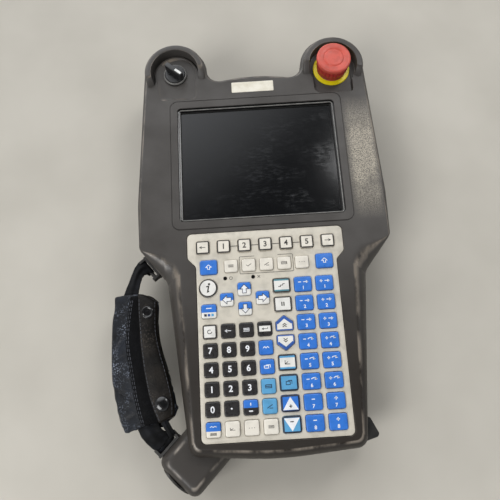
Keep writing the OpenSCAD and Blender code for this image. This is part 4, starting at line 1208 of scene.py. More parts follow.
def jog_row(form, row):
    """Two motion keys: a sign and an arrow for the way it moves, and the axis number below."""
    for i, kind in enumerate(("minus", "plus")):
        spot = wide_key(JOG_X + JOG_STEP * i, row)
        x, y = spot[:2]
        cap(form, spot, "blue")
        if row < 6:
            sign(form, kind, (x - 2.6, y + 1.6), 1.15, "light", 0.65)
            motion = "bow" if row > 2 else "arrow"
            sign(form, motion, (x + 2, y + 1.6), 1.8, "light", 0.6, 1.8)
        else:
            sign(form, kind, (x, y + 2), 1.3, "light", 0.7)
        numeral(form, str(row + 1), (x, y - 3), 2.6, "light")


# the keys of each node ride on the body of the same name
for name, slot, draw, *how in (
    ("key_function_row", "key_beige", function_row),
    ("key_menu_row", "key_beige", menu_row),
    ("key_shift_left", "key_blue", shift_key, -1),
    ("key_shift_right", "key_blue", shift_key, 1),
    ("key_info", "key_white", info_key),
    ("key_display", "key_blue", display_key),
    ("key_arrows", "key_white", arrow_keys),
    ("key_step", "key_white", step_key),
    ("key_hold", "key_white", hold_key),
    ("key_forward", "key_blue", run_key, 2, "house_up", "up_chevrons"),
    ("key_backward", "key_blue", run_key, 3, "house_down", "down_chevrons"),
    ("key_frame_select", "key_blue", frame_select_keys),
    ("key_speed", "key_blue", speed_keys),
    ("key_row_edit", "key_black", edit_row),
    ("key_row_789", "key_black", number_row, 7, 1),
    ("key_row_456", "key_black", number_row, 4, 2),
    ("key_row_123", "key_black", number_row, 1, 3),
    ("key_row_0", "key_black", zero_row),
    ("key_column_macro", "key_blue", macro_column),
    ("key_row_bottom", "key_beige", bottom_row),
    *((f"jog_{row + 1}", "key_blue", jog_row, row) for row in range(8)),
):
    keys = solid(draw, *how)
    use_inks("cap_" + name.removeprefix("key_"), keys, name, [name])

# Unlit lamps: smoked acrylic light pipes, level with the plate
smoked_acrylic = patchy(
    "smoked_acrylic", "#161513", 0.12, (1, 0.4, 0.7), ("#131211", "#262422"), IOR=1.49
)
dressed(smoked_acrylic, "status_lamps")

# ---- Emergency stop ------------------------------------------------------------------------------
# A red mushroom head of moulded polyamide on a yellow ring. The head has a dished disc on top and
# ribs for the twist grip below; the ring and its barrel are clamped by a nut under the shell.
STOP_RING_R, STOP_RING_T = 16.5, 1.6
STOP_COLLAR_R, STOP_COLLAR_H = 12.6, 8
STOP_STEM_R = 4
STOP_TRAVEL = 4.5
SKIRT_LOW = STOP_FLOOR + STOP_RING_T + STOP_TRAVEL + 0.5
STOP_TOP = SKIRT_LOW + 11.4
STOP_BLOCK_TOP = STOP_FLOOR - STOP_PLATE - 6

# Polyamide in signal colours: satin, with scuffs that lose their gloss. The head's ribbed skirt and
# the sleeve under it take darker reds: painted shade below the lit top
stop_red = satin_plastic("moulded_polyamide_red", "#cc5343", 0.42, 0.15)
stop_red_painted_shade = satin_plastic("moulded_polyamide_red_grip", "#a32a2a", 0.42, 0.2)
stop_sleeve_red_painted_shade = satin_plastic("moulded_polyamide_dark_red", "#8e2127", 0.4, 0.2)
stop_yellow = satin_plastic("moulded_polyamide_yellow", "#e8d300", 0.4, 0.1)


def ribbed(form, at, profile, count, depth, material, steps=8):
    """A ring of shallow ribs: profile is (radius, z, share of the rib depth)."""
    rings = []
    for r, z, share in profile:
        ring = []
        for k in range(count * steps):
            turn = 2 * math.pi * k / (count * steps)
            wave = abs(math.sin(turn * count / 2)) ** 0.7
            reach = r - depth * share * (1 - wave)
            ring.append((at[0] + reach * math.cos(turn), at[1] + reach * math.sin(turn), z))
        rings.append(ring)
    loft(form, rings, material)


# from the head's lower edge over its ring and dished disc to the middle: (radius, below the top)
head_profile = [(13.4, 4.4), (14.6, 4.2), (14.9, 3.8), (15, 3.2), (15, 1.6), (14.85, 0.95)]
head_profile += [(14.5, 0.5), (13.9, 0.2), (13, 0.1), (9.3, 0.32), (9.0, 0.5), (8.7, 0.62)]
head_profile += [(8.35, 0.5), (8.1, 0.2), (7.8, 0.05), (7.2, 0), (6.2, 0.02), (5.7, 0.16)]
head_profile += [(5.2, 0.24), (3, 0.28), (0.3, 0.3)]
head = solid(lathe, [(r, STOP_TOP - z) for r, z in head_profile], STOP_AT, steps=96)
ribs = [(13.8, SKIRT_LOW, 0.5), (14.1, SKIRT_LOW + 0.3, 1), (14.2, SKIRT_LOW + 3, 1)]
ribs += [(14.3, STOP_TOP - 4.6, 1), (14.1, STOP_TOP - 4.1, 0.5)]
head = fuse(head, ribbed, STOP_AT, ribs, count=24, depth=0.75, material=1)
hollow_r, hub_r = STOP_COLLAR_R + 0.5, STOP_STEM_R + 2.4
hollow = [(hollow_r, SKIRT_LOW - 1), (hollow_r, STOP_TOP - 4.6)]
head = cut(head, lathe, hollow, STOP_AT, steps=96, material=1)
hub = [(hub_r, SKIRT_LOW + 0.2), (hub_r, STOP_TOP - 4)]
head = fuse(head, lathe, hub, STOP_AT, steps=32, material=1)
# the ribbed skirt takes the darker red, which is painted shade
head_looks = [stop_red, stop_red_painted_shade]
finish_piece(
    "stop_mushroom", head, head_looks, "stop_head", ["stop_head"], angle=30
)

BARREL_R, BORE_R = 8, 7
ring_edge = [(0.3, 0), (0, 0.3), (0, 0.9), (0.2, 1.35), (0.7, STOP_RING_T)]
ring_profile = [(BARREL_R, STOP_BLOCK_TOP), (BARREL_R, STOP_FLOOR)]
ring_profile += [(STOP_RING_R - r, STOP_FLOOR + z) for r, z in ring_edge]
ring_profile += [(BARREL_R, STOP_FLOOR + STOP_RING_T)]
ring = solid(lathe, ring_profile, STOP_AT, steps=96)
collar_low, collar_top = STOP_FLOOR + STOP_RING_T, STOP_FLOOR + STOP_COLLAR_H
sleeve_profile = [
    (STOP_COLLAR_R + 0.45, collar_low - 0.05),
    (STOP_COLLAR_R + 0.1, collar_low + 0.35),
    (STOP_COLLAR_R, collar_low + 1),
    (STOP_COLLAR_R, collar_top - 0.3),
    (STOP_COLLAR_R - 0.3, collar_top),
    (BORE_R, collar_top),
]
sleeve = solid(lathe, sleeve_profile, STOP_AT, steps=96)
bore = [(BORE_R, STOP_FLOOR - 1), (BORE_R, STOP_FLOOR + 9)]
ring = cut(ring, lathe, bore, STOP_AT, steps=48)
sleeve = cut(sleeve, lathe, bore, STOP_AT, steps=48)
stem_bore_r = STOP_STEM_R + 0.08
stem_bore = [(stem_bore_r, STOP_BLOCK_TOP - 1), (stem_bore_r, STOP_FLOOR)]
ring = cut(ring, lathe, stem_bore, STOP_AT, steps=48)
finish_piece("stop_ring", ring, [stop_yellow], "housing", ["stop_bezel"])
finish_piece("stop_sleeve", sleeve, [stop_sleeve_red_painted_shade], "housing", ["stop_bezel"])
dressed(bright_steel, "stop_stem", "panel_nuts")
dressed(black_nylon, "stop_contact_block")

# ---- Selector ------------------------------------------------------------------------------------
# A black nylon knob with a tall grip turns in a black bezel whose rim is painted bright as a
# highlight; a white bar is pressed into the grip's front end.
SEL_BEZEL_R, SEL_BEZEL_T = 10.5, 2.4
SEL_KNOB_R, SEL_BARREL_R, SEL_PIVOT_R = 9, 7, 3
SEL_KNOB_LOW = SELECTOR_FLOOR + 0.6
SEL_KNOB_TOP = SELECTOR_FLOOR + SEL_BEZEL_T + 1
SEL_HANDLE_TOP = SEL_KNOB_TOP + 7.5
SEL_ANGLE = -40
SEL_BLOCK_TOP = SELECTOR_FLOOR - SELECTOR_PLATE - 6
HANDLE_W, HANDLE_L = 4.6, 18.4
POINTER_L, POINTER_W = 6.8, 2.2
POINTER_X = HANDLE_L / 2 - 0.9 - POINTER_L / 2  # its middle, from the selector's axis

# Nylon: satin black, duller on the handled grip; the bezel's pale rim is a painted highlight
knob_black = satin_plastic("glass_filled_nylon_knob", "#1f1f20", 0.32, 0.3)
worn_grip = satin_plastic("glass_filled_nylon_rubbed", "#2a2a2a", 0.45, 0.25)
bezel_rim_painted_highlight = satin_plastic("moulded_nylon_rim_rubbed", "#6e6c68", 0.3, 0.3)
pointer_white = satin_plastic("pressed_in_polycarbonate_white", "#e6e6e2", 0.35)

bezel_bore_r, pivot_bore_r = SEL_KNOB_R + 0.3, SEL_PIVOT_R + 0.08
bezel_edge = [(0.2, 0), (0, 0.3), (0, 1.4), (0.3, 2.1), (0.65, SEL_BEZEL_T)]
bezel_profile = [(SEL_BARREL_R, SEL_BLOCK_TOP), (SEL_BARREL_R, SELECTOR_FLOOR)]
bezel_profile += [(SEL_BEZEL_R - r, SELECTOR_FLOOR + z) for r, z in bezel_edge]
bezel_profile += [(bezel_bore_r, SELECTOR_FLOOR + SEL_BEZEL_T)]
bezel = solid(lathe, bezel_profile, SELECTOR_AT, steps=80)
# the bezel's upper faces take the pale colour of the painted highlight
for face in bezel.faces:
    if face.calc_center_median().z > (SELECTOR_FLOOR + 1.5) * MM:
        face.material_index = 1
knob_seat = [(bezel_bore_r, SEL_KNOB_LOW - 0.3), (bezel_bore_r, SELECTOR_FLOOR + 9)]
bezel = cut(bezel, lathe, knob_seat, SELECTOR_AT, steps=80)
pivot_bore = [(pivot_bore_r, SEL_BLOCK_TOP - 1), (pivot_bore_r, SELECTOR_FLOOR + 1)]
bezel = cut(bezel, lathe, pivot_bore, SELECTOR_AT, steps=32)
finish_piece(
    "selector_ring", bezel, [knob_black, bezel_rim_painted_highlight], "housing", ["selector_bezel"]
)

knob_profile = [
    (4.5, SEL_BLOCK_TOP - 2.8),
    (4.5, SEL_BLOCK_TOP - 0.3),
    (SEL_PIVOT_R, SEL_BLOCK_TOP - 0.3),
    (SEL_PIVOT_R, SEL_KNOB_LOW),
    (SEL_KNOB_R - 0.1, SEL_KNOB_LOW),
    (SEL_KNOB_R, SEL_KNOB_LOW + 0.3),
    (SEL_KNOB_R, SEL_KNOB_TOP - 0.5),
    (SEL_KNOB_R - 0.4, SEL_KNOB_TOP),
    (5, SEL_KNOB_TOP + 0.2),
]
knob = solid(lathe, knob_profile, SELECTOR_AT, steps=80)


def turned(corners, steps, z):
    """A rounded outline at height z, turned with the grip about the selector's axis."""
    c, s = math.cos(math.radians(SEL_ANGLE)), math.sin(math.radians(SEL_ANGLE))
    x0, y0 = SELECTOR_AT
    return [(x0 + x * c - y * s, y0 + x * s + y * c, z) for x, y in rounded(corners, steps)]


sections = []
for grow, z in (
    (-0.1, SEL_KNOB_TOP - 0.3),
    (-0.1, SEL_KNOB_TOP + 0.6),
    (0, SEL_KNOB_TOP + 2),
    (-0.1, SEL_HANDLE_TOP - 0.7),
    (-0.25, SEL_HANDLE_TOP - 0.2),
    (-0.6, SEL_HANDLE_TOP),
):
    corners = box_corners(HANDLE_L + 2 * grow, HANDLE_W + 2 * grow, 1.4 + grow)
    sections.append(turned(corners, 6, z))
grip = solid(loft, sections)
for face in grip.faces:
    if face.calc_center_median().z > (SEL_HANDLE_TOP - 0.8) * MM:
        face.material_index = 1
knob = combine(knob, grip, "UNION")


def bar_section(shrink, rise):
    """The outline of the white bar, or of its slot, above or below the grip's top."""
    corners = box_corners(POINTER_L - shrink, POINTER_W - shrink, 0.4, (POINTER_X, 0))
    return turned(corners, 3, SEL_HANDLE_TOP + rise)


knob = cut(knob, loft, [bar_section(0, -0.6), bar_section(0, 2)])
knob_looks = [knob_black, worn_grip]
finish_piece(
    "selector_grip", knob, knob_looks, "selector", ["selector_knob"], angle=30
)
bar = solid(loft, [bar_section(0, -0.6), bar_section(0, 0), bar_section(0.3, 0.12)])
finish_piece(
    "selector_bar", bar, [pointer_white], "selector", ["selector_pointer"]
)
dressed(black_nylon, "selector_switch_block")

# ---- Cable outlet --------------------------------------------------------------------------------
# A hollow boss, moulded with the rear tray, leaves the lower left corner at 45 degrees and carries
# a round black zinc-plated panel socket in its mouth. Nothing is plugged in.
OUTLET_END = (-TAIL_X - 12.7, -HALF_L - 13.3)
OUTLET_W, OUTLET_L = 41, 62
OUTLET_AXIS_Z = 27
SOCKET_R, SOCKET_DEPTH = 9.5, 12
DIAGONAL = math.sqrt(0.5)


def outlet_point(x, y, z):
    """A point given along the outlet's axis, with x pointing out of its mouth."""
    return (OUTLET_END[0] - DIAGONAL * (x - y), OUTLET_END[1] - DIAGONAL * (x + y), z)


rings = []
heights = [(3, 8), (1.5, 8.7), (0.5, 10.4), (0, 13), (0, 36), (0.25, 39), (1, 41.6)]
for d, z in heights + [(2.2, 43.7), (3.6, 45.3), (5, 46.3), (6.5, 46.85), (8.5, 47)]:
    side, end = OUTLET_W / 2 - d, 7 - d / 3
    outline = [(-OUTLET_L, -side, 2), (-d, -side, end), (-d, side, end), (-OUTLET_L, side, 2)]
    rings.append([outlet_point(x, y, z) for x, y in rounded(outline, 8)])
boss = solid(loft, rings)
# what is fixed to the shell's side is cut to fit it
SHELL_SIDE = (grown(side_corners, 0.1), [(0, 0), (0, 100)], ARC)
boss = cut(boss, prism, *SHELL_SIDE)
turns = [2 * math.pi * k / 64 for k in range(64)]
rings = []
for x, gap in ((-20, 3), (-0.7, 3), (0, 3.5), (SOCKET_DEPTH, 3.5)):
    r = SOCKET_R + gap
    circle = [(r * math.cos(turn), r * math.sin(turn)) for turn in turns]
    rings.append([outlet_point(x, y, OUTLET_AXIS_Z + z) for y, z in circle])
boss = cut(boss, loft, rings)
# the pale rubbed colour on the boss's rounded edges is partly a painted highlight
outlet_abs = moulded_abs("spark_eroded_abs_outlet", "#403d3a", "#37332f", "#8a8278", smooth=0.34)
outlet_boss = finish_piece(
    "outlet_boss", boss, [outlet_abs], replaces=["cable_outlet"]
)
even_normals(outlet_boss)

# Black zinc plating: a dark grey metal, dulled in patches
socket_metal = patchy(
    "black_zinc_plated_steel", "#4c4a47", 0.34,
    (3, 0.35, 0.7), ("#43413f", "#62605c"), (0.4, 0.008), Metallic=1.0,
)
dressed(socket_metal, "cable_connector")
dressed(black_nylon, "strap_anchors")

# ---- Hand strap: pad -----------------------------------------------------------------------------
# A foam core wrapped in black artificial leather, swollen as cloth under pressure. Over it lie a
# narrow stitched tongue and a wider flap, held by two snap fasteners.
PAD_STATIONS = [
    (-157, -119, -113),
    (-151, -122, -84),
    (-142, -125, -77.8),
    (-124, -129, -80.5),
    (-104, -130.5, -86),
    (-86, -130.5, -91.3),
    (-68, -130, -91.3),
    (-54, -128.7, -91.6),
    (-47, -128, -96),
]
PAD_Z, PAD_T, CORE_IN = 42, 8, 1.3  # the core stays this far inside, to leave room to swell


def follow(rows, y, column):
    """A value of the rows at y, on a smooth curve through them; y rises from row to row."""
    y = max(rows[0][0], min(rows[-1][0], y))
    i = max(k for k in range(len(rows) - 1) if rows[k][0] <= y)
    t = (y - rows[i][0]) / (rows[i + 1][0] - rows[i][0])
    p = [rows[max(0, min(len(rows) - 1, i + k))][column] for k in (-1, 0, 1, 2)]
    return 0.5 * (
        2 * p[1]
        + (p[2] - p[0]) * t
        + (2 * p[0] - 5 * p[1] + 4 * p[2] - p[3]) * t * t
        + (3 * p[1] - p[0] - 3 * p[2] + p[3]) * t**3
    )


def pad_point(u, v, side):
    """A point of the pad's core: u across it, v along it, side 1 on top and -1 below."""
    low_y = -159 + 4.5 * u + 8.3 * u * u
    top_y = -45.6 - 8 * max(0, u - 0.8) ** 2 / 0.04 + 0.8 * math.sin(math.pi * u) ** 4
    y = low_y + (top_y - low_y) * v
    left, right = follow(PAD_STATIONS, y, 1) - 2.6, follow(PAD_STATIONS, y, 2) + 0.8
    x = left + (right - left) * u
    arch = -5 + 6 * math.sin(math.pi / 2 * u) - 3 * (2 * u - 1) ** (4 if side < 0 else 2)
    return (x, y, PAD_Z + side * (PAD_T / 2 - CORE_IN) + arch)


def swollen(name, form, cell, pressure, reach):
    """Swells a closed form as a stuffed cover does; no point moves further than reach."""
    made = bpy.data.objects.new(name, to_mesh(name, form))
    scene.collection.objects.link(made)
    cells = made.modifiers.new("cells", "REMESH")
    cells.mode = "VOXEL"
    cells.voxel_size = cell * MM

    def settle():
        graph = bpy.context.evaluated_depsgraph_get()
        mesh = bpy.data.meshes.new_from_object(made.evaluated_get(graph))
        made.modifiers.clear()
        made.data = mesh
        return mesh

    mesh = settle()
    start = [v.co.copy() for v in mesh.vertices]
    cloth = made.modifiers.new("cloth", "CLOTH")
    cloth.settings.quality = 8
    cloth.settings.use_pressure = True
    cloth.settings.uniform_pressure_force = pressure
    cloth.settings.effector_weights.gravity = 0
    for frame_number in range(1, 21):
        scene.frame_set(frame_number)
    mesh = settle()
    scene.frame_set(1)
    for vertex, first in zip(mesh.vertices, start):
        moved = vertex.co - first
        if moved.length > reach * MM:
            vertex.co = first + moved.normalized() * reach * MM
    smooth = made.modifiers.new("smooth", "SMOOTH")
    smooth.iterations = 4
    finer = made.modifiers.new("finer", "SUBSURF")
    finer.levels = finer.render_levels = 1
    mesh = settle()
    mesh.shade_smooth()
    return made


rings = []
across = [k / 12 for k in range(13)]
for v in (k / 44 for k in range(45)):
    below = [pad_point(u, v, -1) for u in across]
    rings.append(below + [pad_point(u, v, 1) for u in across[::-1]])
core = solid(loft, rings)
strap_pad = swollen("strap_pad", core, cell=2.2, pressure=4, reach=1.6)

CREASE_W = 1.5
# creases where the cover folds when the hand presses it: both ends and the depth
CREASES = [
    ((-119.5, -81), (-127.5, -91), 0.9),
    ((-124, -125), (-112, -131), 0.6),
    ((-129, -112), (-119, -106), 0.35),
    ((-123, -148), (-112, -143), 0.4),
    ((-128, -60), (-119, -66), 0.35),
    ((-130, -99), (-120, -97), 0.3),
    ((-126, -137), (-114, -138), 0.3),
]
for vertex in strap_pad.data.vertices:
    if vertex.normal.z > 0.1:
        spot = vertex.co.xy / MM
        for begin, finish, depth in CREASES:
            begin, finish = Vector(begin), Vector(finish)
            step = finish - begin
            t = max(0, min(1, (spot - begin).dot(step) / step.length_squared))
            gap = (spot - begin - t * step).length
            vertex.co.z -= depth * math.exp(-((gap / CREASE_W) ** 2)) * MM


def surface_of(made):
    """The faces of a piece as a tree that rays can be cast on."""
    mesh = made.data
    faces = [list(polygon.vertices) for polygon in mesh.polygons]
    return BVHTree.FromPolygons([v.co.copy() for v in mesh.vertices], faces)


def top_at(x, y, *surfaces):
    """The height, in millimetres, of the first of the surfaces that lies under a point."""
    for tree in surfaces:
        hit = tree.ray_cast(Vector((x, y, 90)) * MM, Vector((0, 0, -1)))[0]
        if hit:
            return hit.z / MM
    return PAD_Z - 4


pad_surface = surface_of(strap_pad)


# Artificial leather: a pebbled film on cloth, glossy where hands polish it, grey where it cracks;
# the grey-blue flecks on the pad are partly painted reflections of bluish light
def leather(name, dark, light, scuffed, roughness, spots, gloss):
    """The cover's leather; spots is how much of the flecks' pale colour shows, partly cracks and
    partly painted glints.
    """
    material, shader = surface(name, dark, roughness, Specular_IOR_Level=gloss)
    flecks = mottle(material, 1.3, 0.52, 0.66, 5)
    cracks_and_glints = mottle(material, 19, 0.42, 0.62, 3)
    scuff_and_glint_flecks = product(material, flecks, cracks_and_glints, spots)
    clouds = mottle(material, 14, 0.35, 0.7, 4)
    base = layered(material, dark, (clouds, light), (scuff_and_glint_flecks, scuffed))
    rough = add(
        material,
        "ShaderNodeMath",
        {0: mottle(material, 6, 0.3, 0.7, 4), 1: 0.25, 2: roughness - 0.1},
        operation="MULTIPLY_ADD",
    )
    place = add(material, "ShaderNodeTexCoord")
    pebbles = add(
        material,
        "ShaderNodeTexVoronoi",
        {"Vector": place.outputs["Object"], "Scale": per_mm(1.1)},
        feature="DISTANCE_TO_EDGE",
    )
    folds = add(
        material,
        "ShaderNodeTexNoise",
        {"Vector": place.outputs["Object"], "Scale": per_mm(7), "Detail": 5.0, "Distortion": 0.6},
    )
    height = add(
        material,
        "ShaderNodeMath",
        {0: folds.outputs["Fac"], 1: 3.0, 2: pebbles.outputs["Distance"]},
        operation="MULTIPLY_ADD",
    )
    bump = add(material, "ShaderNodeBump", {"Height": height.outputs[0], "Distance": 0.25 * MM})
    drive(
        material,
        shader,
        Base_Color=base,
        Roughness=rough.outputs[0],
        Normal=bump.outputs["Normal"],
    )
    return material


leather_black = leather(
    "pu_leather_black", "#0a0b0e", "#1d2129", "#7b828f", roughness=0.38, spots=1.0, gloss=0.22
)
# the tongue's leather is near black, darker than the pad's: painted shade along the tongue
leather_tongue_painted_shade = leather(
    "pu_leather_tongue", "#040405", "#070709", "#1c1d22", roughness=0.55, spots=0.3, gloss=0.08
)
leather_worn = leather(
    "pu_leather_flap", "#100e0c", "#221e1a", "#544d45", roughness=0.46, spots=0.6, gloss=0.18
)
strap_pad.data.materials.append(leather_black)
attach(strap_pad, "housing")
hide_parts("hand_pad")

# the tongue's left edge, the line where the flap begins, and the flap's right edge: (y, x, x, x)
TONGUE_LEFT, FLAP_LEFT, FLAP_RIGHT = 1, 2, 3
LAYERS = [
    (-156, -104.5, -91, -84),
    (-150, -106.3, -92, -81.5),
    (-141, -109, -95.5, -79.4),
    (-129, -112, -99.7, -80.6),
    (-110, -115.2, -103.4, -84.9),
    (-91, -118.3, -105.9, -90.2),
    (-78, -118.6, -107, -92.3),
    (-61, -116.8, -108.2, -92.2),
    (-47, -114.6, -108.4, -92.4),
]
LAYER_SINK, LAYER_UNDER = 0.4, 0.7  # below the pad's surface: a layer's edge and its underside


def layer(form, left, right, low_y, top_y, lift, crown, edge):
    """Adds a leather piece on the pad: left and right give x at y, low_y and top_y its ends."""
    rings = []
    steps, rows = 14, 70
    for j in range(rows + 1):
        t = j / rows
        upper, lower = [], []
        for k in range(steps + 1):
            # closer together at the edges, where the piece rounds off
            a = 0.5 - 0.5 * math.cos(math.pi * k / steps)
            low, high = low_y(a), top_y(a)
            y = low + (high - low) * (0.5 - 0.5 * math.cos(math.pi * t))
            x = left(y) + (right(y) - left(y)) * a
            inside = min(x - left(y), right(y) - x, y - low, high - y)
            near = min(inside / edge, 1)
            rim = math.sqrt(max(0, 1 - (1 - near) ** 2))
            z = top_at(x, y, pad_surface)
            swell = crown * math.sin(math.pi * a) * min(1, 8 * t, 8 * (1 - t))
            upper.append((x, y, z - LAYER_SINK + (lift + LAYER_SINK) * rim + swell))
            lower.append((x, y, z - LAYER_UNDER))
        rings.append(lower + upper[::-1])
    loft(form, rings)


tongue = solid(
    layer,
    lambda y: follow(LAYERS, y, TONGUE_LEFT),
    lambda y: follow(LAYERS, y, FLAP_LEFT) + 3,
    lambda a: -154.5 + 1.5 * a,
    lambda a: -48,
    lift=1.1,
    crown=0.7,
    edge=1.2,
)
tongue = finish_piece("strap_tongue", tongue, [leather_tongue_painted_shade], angle=60)
flap = solid(
    layer,
    lambda y: follow(LAYERS, y, FLAP_LEFT),
    lambda y: follow(LAYERS, y, FLAP_RIGHT),
    lambda a: -152.6 + 7.2 * a**1.5,
    lambda a: -46.9 - 6.5 * max(0, a - 0.35) ** 2 / 0.42,
    lift=1.5,
    crown=1.0,
    edge=1.1,
)
flap = finish_piece("strap_flap", flap, [leather_worn], angle=60)
tongue_surface, flap_surface = surface_of(tongue), surface_of(flap)

# ---- Stitching -----------------------------------------------------------------------------------
# Lockstitch in dull dark grey polyester thread holds tongue and flap to the pad: two rows beside
# the tongue's edge and one along each side of the flap.
thread = patchy(
    "polyester_thread_grey", "#34363b", 0.6, (4, 0.35, 0.65), ("#2a2c31", "#4a4d54"), (0.25, 0.05)
)
STITCH, STITCH_GAP, THREAD_R = 2.5, 0.8, 0.27


def stitch_row(form, line, surface_below):
    """Adds single stitches along the line of [x, y]; each dips into the leather at both ends."""
    points = [Vector(p) for p in line]
    lengths = [0.0]
    for p, q in zip(points, points[1:]):
        lengths.append(lengths[-1] + (q - p).length)

    def at(distance):
        i = max(k for k in range(len(points) - 1) if lengths[k] <= distance)
        share = (distance - lengths[i]) / (lengths[i + 1] - lengths[i])
        return points[i].lerp(points[i + 1], share)

    begin = 0.5
    while begin + STITCH < lengths[-1] - 0.3:
        rings = []
        for k in range(6):
            t = k / 5
            here = at(begin + STITCH * t)
            ahead = at(begin + STITCH * t + 0.1) - here
            side = Vector((-ahead.y, ahead.x)).normalized()
            leather_top = top_at(here.x, here.y, surface_below, pad_surface)
            high = leather_top - 0.22 + 0.3 * math.sin(math.pi * t)
            ring = []
            for m in range(6):
                turn = math.pi * m / 3
                off = side * THREAD_R * math.cos(turn)
                ring.append((here.x + off.x, here.y + off.y, high + THREAD_R * math.sin(turn)))
            rings.append(ring)
        loft(form, rings)
        begin += STITCH + STITCH_GAP


seams = bmesh.new()
line_y = [-152 + 2 * k for k in range(52)]
for column, inset, ys, leather_below in (
    (TONGUE_LEFT, 1.5, line_y, tongue_surface),
    (TONGUE_LEFT, 3.1, line_y, tongue_surface),
    (FLAP_RIGHT, -1.9, line_y[4:-1], flap_surface),
    (FLAP_LEFT, 1.7, line_y[2:], flap_surface),
):
    stitch_row(seams, [(follow(LAYERS, y, column) + inset, y) for y in ys], leather_below)
finish_piece("strap_stitches", seams, [thread], angle=60)

# ---- Snap fasteners ------------------------------------------------------------------------------
# Pressed brass caps with a black lacquer that has worn to a high gloss hold the flap at both ends;
# the upper one is dished.
lacquer = patchy(
    "black_lacquered_brass", "#141415", 0.2,
    (2.5, 0.5, 0.75), ("#0b0b0c", "#1e1d1b"), (0.7, 0.008), Coat_Weight=0.3, Coat_Roughness=0.08,
)
caps = bmesh.new()
# each cap's place, radius and form
for x, y, r, dished in ((-99.7, -62.6, 5.2, True), (-88.5, -135.1, 5.8, False)):
    base = top_at(x, y, flap_surface, pad_surface) - 0.5
    if dished:
        shape = [(r, 0), (r, 0.9), (r - 0.25, 1.35), (r - 0.8, 1.6), (r - 1.5, 1.45)]
        shape += [(r - 1.9, 1.1), (r - 2.1, 1.05), (1.5, 1.2), (0.2, 1.25)]
    else:
        shape = [(r, 0), (r + 0.05, 0.5), (r - 0.1, 0.9), (r - 0.5, 1.3), (r - 1.4, 1.8)]
        shape += [(r - 2.6, 2.15), (1.8, 2.4), (0.2, 2.5)]
    lathe(caps, [(radius, base + z) for radius, z in shape], (x, y), steps=48)
finish_piece(
    "snap_caps", caps, [lacquer], replaces=["snap_fasteners"], angle=40
)

# ---- Webbing -------------------------------------------------------------------------------------
# Woven polyamide webbing, 1 mm thick, goes from the pad round the bar of each anchor and back. The
# upper one is creased lengthwise; beside the lower one hangs its narrow loose end.
# Polyamide yarn: matt black, its crowns a little lighter, dusty in patches
webbing_black, webbing_shader = surface(
    "woven_polyamide_black", "#0a0a0c", 0.6, Sheen_Weight=0.06, Specular_IOR_Level=0.15
)
weave_at = add(webbing_black, "ShaderNodeUVMap")
yarns = []
for direction, pitch in (("X", 1.3), ("Y", 0.9)):
    links = {"Vector": weave_at.outputs["UV"], "Scale": per_mm(pitch) / 20}
    yarn = add(webbing_black, "ShaderNodeTexWave", links, bands_direction=direction)
    yarns.append(yarn.outputs["Fac"])
woven = product(webbing_black, *yarns)
raised = add(webbing_black, "ShaderNodeBump", {"Height": woven, "Distance": 0.18 * MM})
tinted = layered(webbing_black, "#050506", (woven, "#0e0f12"))
dusty = mottle(webbing_black, 11, 0.5, 0.75)
drive(
    webbing_black,
    webbing_shader,
    Base_Color=layered(webbing_black, tinted, (dusty, "#16181d")),
    Normal=raised.outputs["Normal"],
)
WEB_T, BAR_R = 1.0, 1.6
WEB_APART = 0.62  # from the middle between the two layers to each layer's own middle


def ribbon(form, stations):
    """A woven band; each station is (centre, across, up, width, crease)."""
    rings, travelled, steps = [], 0.0, 10
    uv = form.loops.layers.uv.verify()
    marks = []
    for i, (centre, across, up, width, crease) in enumerate(stations):
        if i:
            travelled += (centre - stations[i - 1][0]).length
        upper, lower, mark = [], [], []
        for k in range(steps + 1):
            a = k / steps
            ridge = crease * (math.exp(-(((a - 0.45) / 0.16) ** 2)) - 0.35 * (1 - a))
            here = centre + across * width * (a - 0.5) + up * ridge
            half = WEB_T / 2 * (0.5 if k in (0, steps) else 1)
            upper.append(here + up * half)
            lower.append(here - up * half)
            mark.append((width * (a - 0.5) * MM, travelled * MM))
        rings.append(lower + upper[::-1])
        marks.append(mark + mark[::-1])
    rows = loft(form, rings)
    place = {v: m for row, mark in zip(rows, marks) for v, m in zip(row, mark)}
    for face in form.faces:
        for corner in face.loops:
            corner[uv].uv = place.get(corner.vert, (0, 0))


def heading(angle):
    """The level direction at this angle."""
    return Vector((math.cos(math.radians(angle)), math.sin(math.radians(angle)), 0))


UP = Vector((0, 0, 1))


def band(path, bar, turn, width):
    """Stations from the pad to the bar, round it and back below; path is from the bar outward."""
    out, bar_line = heading(turn - 90), heading(turn)
    bar = Vector(bar)
    reach = BAR_R + WEB_T / 2 + 0.05
    layers = {1: [], -1: []}
    for side, stations in layers.items():
        for k, (x, y, z, angle, wide, crease) in enumerate(path):
            near, far = path[max(0, k - 1)], path[min(len(path) - 1, k + 1)]
            tangent = (Vector(far[:3]) - Vector(near[:3])).normalized()
            up = heading(angle).cross(tangent).normalized()
            up = up if up.z > 0 else -up
            gap = WEB_APART + (reach - WEB_APART) * max(0, 1 - k / 2)
            folded = crease if side > 0 else crease * 0.8
            stations.append((Vector((x, y, z)) + side * gap * up, heading(angle), up, wide, folded))
    loop = []
    for k in range(9):
        a = math.pi * k / 8
        up = UP * math.cos(a) - out * math.sin(a)
        loop.append((bar + up * reach, bar_line, up, width, 0.0))
    below = [(c, across, -up, wide, -crease) for c, across, up, wide, crease in layers[-1]]
    return layers[1][::-1] + loop + below


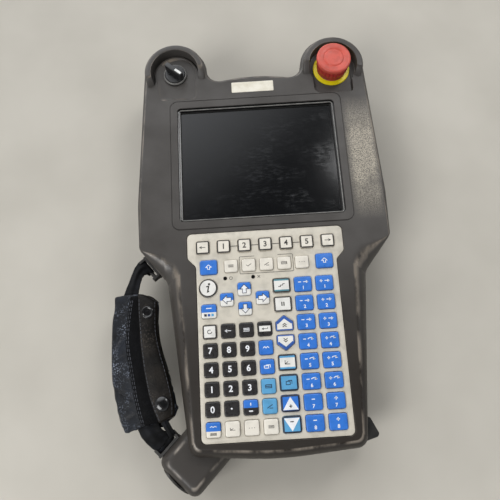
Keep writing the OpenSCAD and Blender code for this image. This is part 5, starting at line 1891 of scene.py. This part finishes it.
upper_bar = (-103.1, -21.6, 33)
upper_path = [
    (-104.6, -22.4, 33.6, -51.8, 14, 0.1),
    (-106.6, -22.6, 35, -49, 12.6, 0.9),
    (-108.9, -25.4, 36.9, -36, 10.6, 1.6),
    (-110.8, -30, 38.4, -21, 9.4, 2.0),
    (-112.4, -35.8, 39.4, -15, 9.6, 1.8),
    (-114, -41.5, 40, -13, 10.8, 1.4),
    (-115.2, -47, 40.2, -10, 12, 0.9),
    (-116, -53, 40.2, -6, 12.5, 0.5),
]
lower_bar = (-89.4, -166.4, 33)
lower_path = [
    (-90.9, -164.9, 33.6, 45, 16.5, 0),
    (-93.2, -163, 35.2, 38, 16.6, 0.2),
    (-96, -160.4, 37.6, 27, 16.8, 0.5),
    (-98.7, -157.2, 39.4, 15, 17, 0.5),
    (-100.8, -153, 40.2, 6, 17, 0.3),
    (-102, -148, 40.2, 2, 17, 0.1),
]
loose_end = [
    (-82.3, -160.2, 37.4, 40),
    (-83.5, -158, 38.4, 33),
    (-85.4, -154.8, 39.4, 28),
    (-87.4, -151, 40, 24),
    (-89, -146, 40.2, 20),
]
loose = [(Vector((x, y, z)), heading(angle), UP, 5.6, 0.3) for x, y, z, angle in loose_end]
for name, stations, replaced in (
    ("webbing_upper", band(upper_path, upper_bar, -51.8, 14), ["strap_webbing"]),
    ("webbing_lower", band(lower_path, lower_bar, 225, 16.5), ()),
    ("webbing_loose_end", loose, ()),
):
    straps = solid(ribbon, stations)
    finish_piece(name, straps, [webbing_black], "housing", replaced, angle=70)

# ---- Bumper and label ----------------------------------------------------------------------------
# A rubber corner bumper is pushed on at the lower right. A blank paper label in a clear film is
# stuck on above the display.
BUMPER = [
    (TAIL_X - 7.6, 4 - HALF_L, 2),
    (TAIL_X + 14.4, 10 - HALF_L, 3),
    (TAIL_X + 6.4, 27 - HALF_L, 2),
]
bumper_side = [(-1.2, 24), (-0.4, 24.3), (0, 25.1), (0, 33.9), (-0.4, 34.7), (-1.2, 35)]
bumper = cut(solid(prism, BUMPER, bumper_side), prism, *SHELL_SIDE)
finish_piece(
    "rubber_bumper", bumper, [seam_rubber], replaces=["corner_bumper"]
)

LABEL_W, LABEL_H, LABEL_AT = 37.5, 10.2, (-1.4, 133)
# Paper under a clear film: an even soft sheen, slightly yellowed in patches
label_paper = patchy(
    "laminated_paper_label", "#e7e2d2", 0.32, (7, 0.4, 0.75, 4), ("#e9e4d5", "#d3ccb8"), (2.5, 0.02)
)
label_side = [(0, FRONT - 0.02), (0, FRONT + 0.1), (-0.06, FRONT + 0.14)]
label = solid(prism, box_corners(LABEL_W, LABEL_H, 0.7, LABEL_AT), label_side, steps=4)
finish_piece("blank_label", label, [label_paper])
